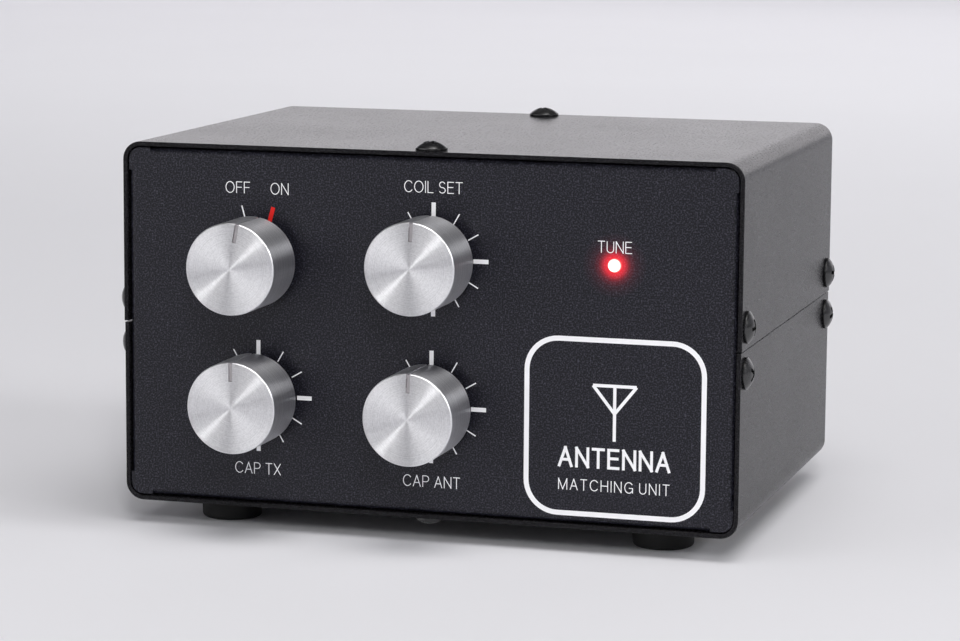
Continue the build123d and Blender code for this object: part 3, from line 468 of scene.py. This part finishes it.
slotFinish = {
    "case_paint": sandPaint("casePaint", casePaintSet),
    "panel_paint": sandPaint("panelPaint", panelPaintSet, paintedLampGlow),
    "black_screw": plasticFinish("blackScrew", (0.008, 0.008, 0.009, 1), 0.24, 2600.0, 0.06, Metallic=0.0,
                                 Specular_IOR_Level=0.8),
    "foot_rubber": footRubber(),
    "zinc_steel": metalFinish("zincSteel", (0.55, 0.56, 0.58, 1), 0.32, wear=0.3),
    "turned_brass": metalFinish("turnedBrass", (0.70, 0.48, 0.20, 1), 0.28, wear=0.2,
                                wearColor=(0.9, 0.72, 0.4, 1)),
    "nickel_plate": metalFinish("nickelPlate", (0.66, 0.64, 0.60, 1), 0.17, wear=0.2, drift=0.04),
    "plate_aluminium": metalFinish("plateAluminium", (0.74, 0.75, 0.76, 1), 0.36, grain=1800.0),
    "switch_plastic": plasticFinish("switchPlastic", (0.02, 0.02, 0.022, 1), 0.5),
    "phenolic": plasticFinish("phenolic", (0.16, 0.06, 0.02, 1), 0.42, grain=900.0, drift=0.15),
    "ptfe": plasticFinish("whiteInsulator", (0.78, 0.77, 0.74, 1), 0.38),
    "nylon": plasticFinish("nylon", (0.70, 0.68, 0.60, 1), 0.45),
    "board_laminate": boardTracks(),
    "core_powder": plasticFinish("corePowder", (0.32, 0.02, 0.015, 1), 0.45, grain=1200.0, bump=0.3),
    "copper_wire": metalFinish("copperWire", (0.60, 0.20, 0.07, 1), 0.22, grain=1500.0),
    "resistor_body": ringStripes(),
    "lamp_red": lampLens(),
    "inlet_plastic": plasticFinish("inletPlastic", (0.015, 0.015, 0.016, 1), 0.35),
    "wire_cover": plasticFinish("wireCover", (0.38, 0.015, 0.012, 1), 0.4),
}
for part in frame["record"]["subparts"]:
    finish = slotFinish.get(part["material_slot"])
    if finish:
        mesh = nodes[part["node"]].data
        mesh.materials.clear()
        mesh.materials.append(finish)
print("finishes on the CAD nodes")


knobSet = {
    "radius": 10.0, "length": 14.0, "rim": 0.24, "back": 0.3,
    "grooveHalf": 0.4, "grooveInner": 5.9, "grooveDepth": 0.3,
    "sideHalf": 0.22, "sideDepth": 0.2,
    "recess": 7.5, "recessDepth": 1.0, "bore": 3.02, "boreDepth": 11.0,
    "turns": {"power": 10.0, "coil": 2.5, "tx": 0.0, "antenna": 1.5},
    "columns": 88,
}
knobFinishes = [
    knobMetal("knobFace", 0.97, 0.40, 260.0, 0.09),
    # the side's aluminium is a darker copy of the face's aluminium: painted shade on the knob's side
    knobMetal("knobSideShaded", 0.90, 0.34, 150.0, 0.24, (0.66, 0.66, 0.69, 1)),
    metalFinish("knobPointer", (0.42, 0.40, 0.41, 1), 0.42, grain=2600.0),
    metalFinish("knobRim", (0.80, 0.80, 0.82, 1), 0.42, grain=2600.0),
]
knobBodies = {"power": "power_control", "coil": "coil_control", "tx": "tx_control",
              "antenna": "antenna_control"}


def knobGrid(s, turn):
    # rows follow the outline from the face's centre over the rim and down the side; the columns near the
    # pointer keep a fixed distance from its middle line, so their angle is asin(distance / radius)
    full, deep, start = s["radius"], s["length"], s["grooveInner"]
    floorDepth = deep - s["recessDepth"]
    rim = [(full - s["rim"], 0), (full - s["rim"] + 0.02, 0.008), (full - 0.008, s["rim"] - 0.02),
           (full, s["rim"])]
    rows = [(0, 0), (0.6, 0), (1.6, 0), (3.2, 0), (4.6, 0), (start - 0.03, 0), (start + 0.03, 0), (7, 0),
            (8, 0), (9, 0)]
    rows += [(full - s["rim"] - 0.12, 0)] + rim
    rows += [(full, s["rim"] + 0.12), (full, 2.5), (full, 6), (full, 9.5), (full, deep - s["back"] - 0.15),
             (full, deep - s["back"])]
    outer = len(rows)
    rows += [(full - s["back"], deep), (s["recess"] + 0.1, deep), (s["recess"], deep),
             (s["recess"], floorDepth + 0.02),
             (s["recess"] - 0.05, floorDepth), (s["bore"] + 0.2, floorDepth), (s["bore"], floorDepth),
             (s["bore"], deep - s["boreDepth"]), (0, deep - s["boreDepth"])]
    r, depth = np.array(rows, float).T
    half, side = s["grooveHalf"], s["sideHalf"]
    near = np.array([0, side, side + 0.04, half, half + 0.04, half + 0.12, 1.1])
    near = np.concatenate([-near[:0:-1], near])
    spread = np.maximum(r, 1.25)[:, None]
    inner = np.arcsin(near[None, :] / spread)
    edge = np.arcsin(1.1 / spread)
    around = edge + (tau - 2 * edge) * np.linspace(0, 1, s["columns"])[None, 1:-1]
    angle = np.concatenate([inner, around, inner[:, :1] + tau], 1)
    offset = np.abs(np.concatenate([near, np.full(around.shape[1], 9.0), near[:1]]))[None, :]
    r2 = np.repeat(r[:, None], angle.shape[1], 1)
    d2 = np.repeat(depth[:, None], angle.shape[1], 1)
    outside = (np.arange(len(r)) < outer)[:, None]
    onFace = outside & (r2 > start) & (offset <= half + 0.01) & (d2 < s["grooveDepth"])
    d2 = np.where(onFace, s["grooveDepth"], d2)
    onSide = outside & (r2 > full - s["sideDepth"]) & (offset <= side + 0.01)
    r2 = np.where(onSide, full - s["sideDepth"], r2)
    step = np.hypot(np.diff(r, prepend=0), np.diff(depth, prepend=0)).cumsum()
    uv = np.stack([angle / tau, np.repeat(step[:, None] / 60, angle.shape[1], 1)], 2)
    a = angle + math.radians(turn)
    return np.stack([r2 * np.sin(a), d2, r2 * np.cos(a)], 2) * mm, uv


for label, turn in knobSet["turns"].items():
    low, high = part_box(label + "_knob")
    grid, uv = knobGrid(knobSet, turn)
    centre = np.array([(low.x + high.x) / 2, low.y, (low.z + high.z) / 2])
    knob = gridPiece(label + "_knob_turned", [grid + centre], sharp=28, uvs=[uv])
    for finish in knobFinishes:
        knob.data.materials.append(finish)
    spots = np.zeros(len(knob.data.polygons) * 3)
    knob.data.polygons.foreach_get("center", spots)
    x, y, z = (spots.reshape(-1, 3) - centre).T / mm
    t = math.radians(turn)
    offset, along = np.abs(x * math.cos(t) - z * math.sin(t)), x * math.sin(t) + z * math.cos(t)
    inFace = (offset < knobSet["grooveHalf"] + 0.02) & (along > knobSet["grooveInner"] - 0.02)
    inFace &= (y > 0.1) & (y < 0.34)
    inSide = (offset < knobSet["sideHalf"] + 0.02) & (along > knobSet["radius"] - 0.25)
    inSide &= y < knobSet["length"] - 0.2
    index = np.where((y > knobSet["rim"]) | inSide, 1,
                     np.where((y > 0.1) & (np.hypot(x, z) > knobSet["radius"] - knobSet["rim"]), 3, 0))
    knob.data.polygons.foreach_set("material_index", np.where(inFace, 2, index).astype(np.int32))
    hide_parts(label + "_knob")
    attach(knob, knobBodies[label])
print("knobs turned")


screwSet = {
    "cover": {"radius": 3.5, "height": 2.0, "edge": 0.5, "shank": 1.45, "length": 6.0, "cross": 1.85,
              "slot": 0.42, "depth": 1.25},
    "long": {"radius": 2.8, "height": 2.0, "edge": 0.8, "shank": 1.45, "length": 7.6, "cross": 1.55,
             "slot": 0.38, "depth": 1.15},
}


def screwGrid(s, at, way, roll):
    # dome of revolution with four slots: columns near each arm keep a fixed distance from its middle line,
    # and points inside an arm, or inside the middle where the arms meet, drop to the recess floor
    wide, tall, edge0, w, reach = s["radius"], s["height"], s["edge"], s["slot"], s["cross"]
    bow = (wide * wide + (tall - edge0) ** 2) / (2 * (tall - edge0))
    mid = w * math.sqrt(2)
    radii = [0, mid * 0.6, mid, mid + 0.03, (mid + reach) / 2, reach - 0.04, reach, (reach + wide) / 2,
             wide - 0.5, wide - 0.16, wide - 0.06]
    r = np.array(radii, float)
    top = tall - bow + np.sqrt(bow * bow - r * r)
    tail = np.array([(wide - 0.01, edge0 + 0.06), (wide, edge0 - 0.04), (wide, 0.08), (wide - 0.06, 0.0),
                     (s["shank"] + 0.1, 0.0),
                     (s["shank"], -0.02), (s["shank"], -s["length"] + 0.4),
                     (s["shank"] - 0.4, -s["length"]), (0, -s["length"])])
    r, h = np.concatenate([r, tail[:, 0]]), np.concatenate([top, tail[:, 1]])
    arm = np.array([-w, -w + 0.05, 0, w - 0.05, w])
    spread = np.maximum(r, mid)[:, None]
    inner = np.arcsin(arm[None, :] / spread)
    edge = inner[:, -1:]
    between = edge + (math.pi / 2 - 2 * edge) * np.array([[0.2, 0.4, 0.6, 0.8]])
    quarter = np.concatenate([inner, between], 1)
    angle = np.concatenate([quarter + k * math.pi / 2 for k in range(4)] + [inner[:, :1] + tau], 1)
    inArm = np.tile(np.array([0, 1, 1, 1, 0, 0, 0, 0, 0], bool), 4)
    inArm = np.append(inArm, False)[None, :]
    rr, hh = np.repeat(r[:, None], angle.shape[1], 1), np.repeat(h[:, None], angle.shape[1], 1)
    row = np.arange(len(r))[:, None]
    sunk = (row <= 2) | (inArm & (row <= 5))
    floor = tall - s["depth"] + 0.35 * rr / reach
    hh = np.where(sunk, floor, hh)
    a = angle + roll
    p = np.stack([rr * np.sin(a), rr * np.cos(a), hh], 2) * mm
    z = Vector(way)
    x = z.orthogonal().normalized()
    y = z.cross(x)
    return p[..., :1] * np.array(x) + p[..., 1:2] * np.array(y) + p[..., 2:] * np.array(z) + np.array(at)


def coverSeats(cover, screws, sign):
    # two screws in each side wall near the seam, and one near each end of the broad face
    low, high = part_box(cover)
    sLow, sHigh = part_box(screws)
    radius = screwSet["cover"]["radius"] * mm
    endY = sHigh.y - radius
    seamZ = sLow.z + radius if sign > 0 else sHigh.z - radius
    broad = high.z if sign > 0 else low.z
    seats = []
    for y in (-endY, endY):
        seats += [((low.x, y, seamZ), (-1, 0, 0)), ((high.x, y, seamZ), (1, 0, 0)),
                  ((0, y, broad), (0, 0, sign))]
    return seats


def placeScrews(name, kind, seats, body, slotName, replaced):
    rolls = np.random.default_rng(len(name)).uniform(0, math.pi / 2, len(seats))
    grids = [screwGrid(screwSet[kind], at, way, roll) for (at, way), roll in zip(seats, rolls)]
    piece = gridPiece(name, grids, sharp=40)
    piece.data.materials.append(slotFinish[slotName])
    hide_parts(replaced)
    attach(piece, body)
    return piece


placeScrews("top_screws_domed", "cover", coverSeats("top_cover", "top_cover_screws", 1), "case",
            "black_screw", "top_cover_screws")
placeScrews("bottom_screws_domed", "cover", coverSeats("bottom_cover", "bottom_cover_screws", -1), "case",
            "black_screw", "bottom_cover_screws")

socketBolt = 9.1 * mm
socketSeats = []
for label in ("tx_socket", "antenna_socket"):
    low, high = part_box(label)
    cx, cz = (low.x + high.x) / 2, (low.z + high.z) / 2
    for dx in (-socketBolt, socketBolt):
        for dz in (-socketBolt, socketBolt):
            socketSeats.append(((cx + dx, rearY + 1.6 * mm, cz + dz), (0, 1, 0)))
placeScrews("socket_screws_domed", "long", socketSeats, "case", "zinc_steel", "socket_screws")
print("screws cut")


socketSet = {
    "flange": 25.4, "flangeThick": 1.6, "corner": 1.5, "major": 7.9375, "threadDepth": 0.58,
    "pitch": 25.4 / 24,
    "mouth": 6.4, "mouthDepth": 7.0, "throat": 4.6, "neck": 6.3, "neckLength": 5.0, "columns": 72,
    "rowsPerTurn": 8,
}


def threadedBarrel(s, at, length):
    # barrel whose outer radius dips by a rounded triangle wave of (height / pitch - angle / full turn);
    # the wave is a helix that fades in at both ends, and the rows go on over the rim and down the bore
    a = np.linspace(0, tau, s["columns"] + 1)[None, :]
    y = np.linspace(0, length, int(length / s["pitch"] * s["rowsPerTurn"]))[:, None]
    wave = np.abs(((y / s["pitch"] - a / tau) % 1) * 2 - 1)
    wave = np.clip(wave * 1.25 - 0.12, 0, 1)
    fade = np.clip(y / 0.8, 0, 1) * np.clip((length - 0.5 - y) / 0.9, 0, 1)
    taper = np.clip((y - length + 0.6) / 0.6, 0, 1) * 0.5
    r = s["major"] - s["threadDepth"] * wave * fade - taper
    y = y + 0 * a
    rest = [(s["mouth"] + 0.12, length), (s["mouth"], length - 0.12), (s["mouth"], length - s["mouthDepth"]),
            (s["throat"], length - s["mouthDepth"]), (s["throat"], -s["flangeThick"] - s["neckLength"]),
            (s["neck"], -s["flangeThick"] - s["neckLength"]), (s["neck"], -s["flangeThick"] + 0.1),
            (s["neck"], 0.0)]
    rr = np.concatenate([r, np.repeat(np.array(rest)[:, :1], a.shape[1], 1)])
    yy = np.concatenate([y, np.repeat(np.array(rest)[:, 1:], a.shape[1], 1)])
    return np.stack([rr * np.sin(a), yy, rr * np.cos(a)], 2) * mm + np.array(at)


def flangePlate(s, at):
    # rounded square: rows run from the neck's circle out over the bevelled edge and back in behind
    a = np.linspace(0, tau, 97)
    c, n = np.cos(a), np.sin(a)
    half, k = s["flange"] / 2, s["corner"]
    inner = half - k
    # support point of the inner square plus the corner's circle, spread evenly by angle
    square = np.stack([np.clip(c * 40, -inner, inner) + k * c, np.clip(n * 40, -inner, inner) + k * n], 1)
    circle = np.stack([c, n], 1)
    rows = []
    t, b = s["flangeThick"], 0.18
    for shape, y in [(circle * s["neck"], 0), (circle * (s["neck"] + 0.6), 0),
                     (square * ((half - 0.6) / half), 0),
                     (square * ((half - b) / half), 0), (square, b), (square, t - b),
                     (square * ((half - b) / half), t),
                     (square * ((half - 0.6) / half), t), (circle * (s["major"] + 0.4), t),
                     (circle * (s["major"] - 0.3), t)]:
        rows.append(np.stack([shape[:, 0], np.full(97, y), shape[:, 1]], 1))
    return np.stack(rows) * mm + np.array(at)


for label in ("tx_socket", "antenna_socket"):
    low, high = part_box(label)
    at = ((low.x + high.x) / 2, rearY + socketSet["flangeThick"] * mm, (low.z + high.z) / 2)
    length = (high.y - at[1]) / mm
    barrel = gridPiece(label + "_threaded", [threadedBarrel(socketSet, at, length)], sharp=50)
    plate = gridPiece(label + "_flange", [flangePlate(socketSet, (at[0], rearY, at[2]))], sharp=30)
    for piece in (barrel, plate):
        piece.data.materials.append(slotFinish["nickel_plate"])
        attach(piece, "case")
    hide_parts(label)
print("sockets threaded")


windingSet = {"turns": 36, "inner": 9.44, "outer": 16.96, "halfDepth": 5.96, "wire": 0.4, "perTurn": 28,
              "sides": 8}


def windingGrid(s, at):
    # centre line: once round the ring while it loops a squared-off circle through the hole many times;
    # the tube's circle stands square to the line at every point
    t = np.linspace(0, 1, s["turns"] * s["perTurn"] + 1)
    loop, ring = tau * s["turns"] * t, tau * (t * 0.985 + 5 / 360)
    c, n = np.cos(loop), np.sin(loop)
    squarish = (np.abs(c) ** 5 + np.abs(n) ** 5) ** (-0.2)
    mid, half = (s["inner"] + s["outer"]) / 2, (s["outer"] - s["inner"]) / 2
    r, y = mid + half * c * squarish, s["halfDepth"] * n * squarish
    line = np.stack([r * np.sin(ring), y, r * np.cos(ring)], 1)
    along = np.gradient(line, axis=0)
    along /= np.linalg.norm(along, axis=1, keepdims=True)
    side = np.stack([np.cos(ring), 0 * ring, -np.sin(ring)], 1)
    side -= (side * along).sum(1, keepdims=True) * along
    side /= np.linalg.norm(side, axis=1, keepdims=True)
    other = np.cross(along, side)
    b = np.linspace(0, tau, s["sides"] + 1)[None, :, None]
    tube = line[:, None] + s["wire"] * (np.cos(b) * side[:, None] + np.sin(b) * other[:, None])
    return tube * mm + np.array(at)


low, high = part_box("coil_core")
winding = gridPiece("coil_winding_helical", [windingGrid(windingSet, ((low + high) / 2)[:])], sharp=60,
                    caps=True)
winding.data.materials.append(slotFinish["copper_wire"])
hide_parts("coil_winding")
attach(winding, "case")
print("coil wound")


inkSet = {"thick": 0.018, "lift": 0.004, "red": (0.72, 0.008, 0.004, 1), "white": (0.93, 0.93, 0.95, 1)}


def inkFinish(name, color):
    # screen ink that follows the grain of the paint below it
    m = Shader(name, Specular_IOR_Level=0.4)
    point = m.objectPoint()
    look = m.group(handledSurface, Vector=point, Base=color, Grain=2900.0, Roughness=0.5, Drift=0.03)
    m.feed("Base Color", look.outputs["Color"])
    m.feed("Roughness", look.outputs["Roughness"])
    m.feed("Normal", m.bump(look.outputs["Height"], 0.1, 0.00006))
    return m.material


inkWhite, inkRed = inkFinish("inkWhite", inkSet["white"]), inkFinish("inkRed", inkSet["red"])


def inkGrid(path, width, side):
    # ribbon of constant width along a flat path (x, z), a hair thick; side is -1 on the front, 1 on the rear
    p = np.array(path, float)
    way = np.gradient(p, axis=0)
    way /= np.linalg.norm(way, axis=1, keepdims=True)
    across = np.stack([-way[:, 1], way[:, 0]], 1) * width / 2
    y0 = (faceY if side < 0 else rearY) / mm + side * inkSet["lift"]
    y1 = y0 + side * inkSet["thick"]
    rows = []
    for offset, y in ((across, y0), (across, y1), (-across, y1), (-across, y0), (across, y0)):
        q = p + offset
        rows.append(np.stack([q[:, 0], np.full(len(q), y), q[:, 1]], 1))
    return np.stack(rows, 1) * mm


def inkPiece(name, grids, ink):
    # strokes that cross lie a hair above one another, so no two faces coincide
    side = 1 if grids[0][..., 1].mean() > 0 else -1
    grids = [grid + np.array([0, side * 0.003 * mm * (k % 5), 0]) for k, grid in enumerate(grids)]
    piece = gridPiece(name, grids, sharp=30, caps=True)
    piece.data.materials.append(ink)
    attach(piece, "case")
    return piece


def arcPath(cx, cz, r, start, stop, steps=40):
    # points on a circle, angles clockwise from up
    a = np.radians(np.linspace(start, stop, steps))
    return np.stack([cx + r * np.sin(a), cz + r * np.cos(a)], 1)


def spoke(cx, cz, angle, inner, outer):
    a = math.radians(angle)
    return [(cx + r * math.sin(a), cz + r * math.cos(a)) for r in (inner, outer)]


def middle(node):
    low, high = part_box(node)
    return (low.x + high.x) / 2 / mm, (low.z + high.z) / 2 / mm


tickSet = {
    "thickWidth": 0.95, "thinWidth": 0.27, "thickReach": 12.4, "thinReach": 11.65, "inner": 9.0,
    "switchDrop": 1.6, "switchAngle": 15.3, "switchInner": 10.4, "offReach": 13.9, "offWidth": 0.3,
    "onReach": 13.8,
}
ticks = []
for label in ("coil", "tx", "antenna"):
    cx, cz = middle(label + "_knob")
    for k in range(12):
        thick = k % 3 == 0
        reach = tickSet["thickReach"] if thick else tickSet["thinReach"]
        ticks.append(inkGrid(spoke(cx, cz, 30 * k, tickSet["inner"], reach),
                             tickSet["thickWidth" if thick else "thinWidth"], -1))
px, pz = middle("power_knob")
pz -= tickSet["switchDrop"]
offTick = spoke(px, pz, -tickSet["switchAngle"], tickSet["switchInner"], tickSet["offReach"])
onTick = spoke(px, pz, tickSet["switchAngle"], tickSet["switchInner"], tickSet["onReach"])
ticks.append(inkGrid(offTick, tickSet["offWidth"], -1))
inkPiece("scale_ticks", ticks, inkWhite)
inkPiece("on_tick", [inkGrid(onTick, tickSet["thickWidth"], -1)], inkRed)


def bow(cx, cz, rx, rz, start, stop, steps=22):
    # points on an ellipse in a letter's own square, angles clockwise from up
    a = np.radians(np.linspace(start, stop, steps))
    return np.stack([cx + rx * np.sin(a), cz + rz * np.cos(a)], 1)


# each letter: how wide it is, and its strokes, in heights of a capital
letterStrokes = {
    "A": (0.68, [[(0, 0), (0.34, 1)], [(0.68, 0), (0.34, 1)], [(0.12, 0.34), (0.56, 0.34)]]),
    "C": (0.72, [bow(0.40, 0.5, 0.39, 0.5, 55, -235, 32)]),
    "D": (0.70, [[(0, 0), (0, 1)], [(0, 1), (0.3, 1)], [(0, 0), (0.3, 0)], bow(0.3, 0.5, 0.4, 0.5, 0, 180)]),
    "E": (0.54, [[(0, 0), (0, 1)], [(0, 1), (0.52, 1)], [(0, 0.53), (0.48, 0.53)], [(0, 0), (0.54, 0)]]),
    "F": (0.52, [[(0, 0), (0, 1)], [(0, 1), (0.52, 1)], [(0, 0.51), (0.46, 0.51)]]),
    "G": (0.76, [bow(0.40, 0.5, 0.39, 0.5, 55, -235, 32), [(0.76, 0.46), (0.44, 0.46)],
                 [(0.76, 0.46), (0.76, 0.04)]]),
    "H": (0.64, [[(0, 0), (0, 1)], [(0.64, 0), (0.64, 1)], [(0, 0.52), (0.64, 0.52)]]),
    "I": (0.0, [[(0, 0), (0, 1)]]),
    "L": (0.48, [[(0, 0), (0, 1)], [(0, 0), (0.48, 0)]]),
    "M": (0.80, [[(0, 0), (0, 1)], [(0.8, 0), (0.8, 1)], [(0, 1), (0.4, 0)], [(0.8, 1), (0.4, 0)]]),
    "N": (0.64, [[(0, 0), (0, 1)], [(0.64, 0), (0.64, 1)], [(0, 1), (0.64, 0)]]),
    "O": (0.80, [bow(0.40, 0.5, 0.40, 0.5, 0, 360, 40)]),
    "P": (0.56, [[(0, 0), (0, 1)], [(0, 1), (0.3, 1)], [(0, 0.46), (0.3, 0.46)],
                 bow(0.3, 0.73, 0.26, 0.27, 0, 180)]),
    "S": (0.58, [np.concatenate([bow(0.29, 0.745, 0.25, 0.255, 68, -180),
                                 bow(0.29, 0.245, 0.28, 0.245, 0, 250)[1:]])]),
    "T": (0.58, [[(0, 1), (0.58, 1)], [(0.29, 1), (0.29, 0)]]),
    "U": (0.60, [np.concatenate([[(0, 1), (0, 0.65)], bow(0.3, 0.3, 0.3, 0.3, -90, -270),
                                 [(0.6, 0.65), (0.6, 1)]])]),
    "X": (0.60, [[(0, 0), (0.6, 1)], [(0, 1), (0.6, 0)]]),
}


def letters(name, text, cap, x, z, side=-1, line=0.18, gap=0.23):
    # a row of letters drawn as ribbons, its middle at x and its foot at z; on the rear it reads from behind
    widths = [0.34 if c == " " else letterStrokes[c][0] + gap for c in text]
    start = -(sum(widths) - gap) / 2
    grids = []
    for c, width in zip(text, widths):
        for stroke in [] if c == " " else letterStrokes[c][1]:
            p = np.array(stroke, float)
            if len(p) == 2:
                reach = (p[1] - p[0]) / np.linalg.norm(p[1] - p[0]) * line / cap * 0.5
                p = np.stack([p[0] - reach, p[1] + reach])
            place = (p + (start, 0)) * cap * (-side, 1) + (x, z)
            grids.append(inkGrid(place, line, side))
        start += width
    return inkPiece(name, grids, inkWhite)


# front words: capital height, and how far right of and above the middle of its knob or lamp each one stands
wordSet = {"cap": 2.4, "places": [
    ("label_off", "OFF", "power_knob", -4.6, 14.6), ("label_on", "ON", "power_knob", 5.1, 14.6),
    ("label_coil", "COIL SET", "coil_knob", -0.1, 14.5), ("label_tune", "TUNE", "lamp", 0.0, 2.7),
    ("label_tx", "CAP TX", "tx_knob", -0.2, -17.5), ("label_antenna", "CAP ANT", "antenna_knob", 0.1, -17.7),
]}
for name, text, node, right, up in wordSet["places"]:
    cx, cz = middle(node)
    letters(name, text, wordSet["cap"], cx + right, cz + up)
for name, text, node, drop in [("label_rear_tx", "TX", "tx_socket", 17.5),
                               ("label_rear_antenna", "ANT", "antenna_socket", 17.5),
                               ("label_rear_power", "DC", "power_inlet", 10.0),
                               ("label_rear_earth", "GND", "earth_screw", 9.5)]:
    cx, cz = middle(node)
    letters(name, text, 2.6, cx, cz - drop, 1, 0.24)

# a plain drawn badge: rounded frame with the usual aerial sign and two lines of words
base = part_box("bottom_cover")[0].z / mm
badgeSet = {
    "x": lampAxis[0] / mm + 0.4, "z": base + 22.4, "half": 19.5, "tall": 19.0, "corner": 7.0, "line": 1.1,
    "signUp": 3.2, "signSize": 6.0, "signLine": 0.7, "upperDrop": 8.6, "lowerDrop": 13.8,
}


def roundedFrame(s):
    # the four corner arcs of a rounded rectangle, joined in one closed path
    inX, inZ = s["half"] - s["corner"], s["tall"] - s["corner"]
    parts = []
    for sx, sz, start in ((1, 1, 0), (1, -1, 90), (-1, -1, 180), (-1, 1, 270)):
        parts.append(arcPath(s["x"] + sx * inX, s["z"] + sz * inZ, s["corner"], start, start + 90, 12))
    return np.concatenate(parts + [parts[0][:1]])


def aerial(s, size):
    # upright stem with a triangle on its head
    x, z = s["x"], s["z"] + s["signUp"]
    tip = (x, z)
    return [
        [(x, z - size), (x, z + size)],
        [(x - size * 0.8, z + size), (x + size * 0.8, z + size)],
        [(x - size * 0.8, z + size), tip],
        [(x + size * 0.8, z + size), tip],
    ]


badge = [inkGrid(roundedFrame(badgeSet), badgeSet["line"], -1)]
badge += [inkGrid(line, badgeSet["signLine"], -1) for line in aerial(badgeSet, badgeSet["signSize"])]
inkPiece("badge_lines", badge, inkWhite)
letters("badge_words_upper", "ANTENNA", 3.9, badgeSet["x"], badgeSet["z"] - badgeSet["upperDrop"],
        line=0.62, gap=0.3)
letters("badge_words_lower", "MATCHING UNIT", 2.3, badgeSet["x"], badgeSet["z"] - badgeSet["lowerDrop"],
        line=0.19, gap=0.33)
print("panels printed")


floorSet = {"flat": 2.2, "bend": 0.8, "height": 1.7, "steps": 96}


def bowlFloor(s):
    # flat round floor whose rim turns up in a quarter circle into a low wall, one line swept round the middle
    a = np.linspace(0, math.pi / 2, 20)
    line = [(0.0, 0.0), (0.4, 0.0), (s["flat"] - 0.01, 0.0)]
    line += [(s["flat"] + s["bend"] * math.sin(t), s["bend"] * (1 - math.cos(t))) for t in a]
    line.append((s["flat"] + s["bend"], s["height"]))
    return turnedGrid(line, (0, 0, 0), "z", s["steps"])


floor = gridPiece("floor_sweep", [bowlFloor(floorSet)], sharp=60)
m = Shader("floorPaper", Roughness=0.75, Specular_IOR_Level=0.25)
paper = m.node("TexNoise", {"Vector": m.objectPoint(), "Scale": 3.0, "Detail": 3.0}).outputs["Fac"]
m.feed("Base Color", m.ramp(paper, [(0.3, (0.785, 0.782, 0.815)), (0.7, (0.80, 0.797, 0.83))]))
floor.data.materials.append(m.material)

skySet = {"color": (0.95, 0.97, 1.0, 1), "strength": 0.06}
world = bpy.data.worlds.new("studio")
bpy.context.scene.world = world
world.use_nodes = True
world.node_tree.nodes["Background"].inputs["Color"].default_value = skySet["color"]
world.node_tree.nodes["Background"].inputs["Strength"].default_value = skySet["strength"]

lightSet = {
    "topPanel": {"at": (0.3, -0.5, 1.7), "aim": (0, -0.1, 0), "size": (1.2, 1.2), "power": 18,
                 "color": (1, 0.99, 0.98)},
    "wallWash": {"at": (0, 1.0, 1.6), "aim": (0, 3.0, 0.3), "size": (2.4, 0.8), "power": 24.5,
                 "color": (1, 1, 1)},
    "backPanel": {"at": (0, 2.3, 0.5), "aim": (0, 0, 0.1), "size": (3.6, 0.5), "power": 4.5,
                  "color": (1, 0.95, 0.97)},
    "leftPanel": {"at": (-1.35, -1.05, 0.5), "aim": (-0.5, 0, 0.3), "size": (1.7, 1.0), "power": 7,
                  "color": (1, 1, 1)},
    "rightStrip": {"at": (0.42, -1.15, 0.72), "aim": (0, 0, 0.05), "size": (0.16, 0.3), "power": 4.5,
                   "color": (1, 1, 0.99)},
    "rightPanel": {"at": (1.6, -0.4, 0.85), "aim": (0, 0, 0.05), "size": (0.5, 0.5), "power": 11,
                   "color": (1, 1, 1)},
}
for name, s in lightSet.items():
    data = bpy.data.lights.new(name, "AREA")
    data.shape, data.size, data.size_y = "RECTANGLE", s["size"][0], s["size"][1]
    data.energy, data.color = s["power"], s["color"]
    lamp = bpy.data.objects.new(name, data)
    bpy.context.scene.collection.objects.link(lamp)
    lamp.location = s["at"]
    lamp.visible_camera = False
    lamp.rotation_euler = (Vector(s["aim"]) - Vector(s["at"])).to_track_quat("-Z", "Y").to_euler()

# aim is a point in the plane of the case's front rim
cameraSet = {"turn": 16.4, "rise": 8.5, "roll": 0.42, "distance": 0.706, "aim": (0.0125, -0.0504, 0.0498),
             "lens": 123}
turn, rise = math.radians(cameraSet["turn"]), math.radians(cameraSet["rise"])
back = Vector((math.sin(turn) * math.cos(rise), -math.cos(turn) * math.cos(rise), math.sin(rise)))
camera = bpy.data.objects.new("camera", bpy.data.cameras.new("camera"))
bpy.context.scene.collection.objects.link(camera)
camera.location = Vector(cameraSet["aim"]) + back * cameraSet["distance"]
camera.rotation_euler = back.to_track_quat("Z", "Y").to_euler()
camera.rotation_euler.rotate_axis("Z", math.radians(cameraSet["roll"]))
camera.data.lens = cameraSet["lens"]
camera.data.sensor_width = 36
camera.data.clip_start = 0.01
bpy.context.scene.camera = camera
bpy.context.scene.view_settings.view_transform = "Standard"
print("stage set")
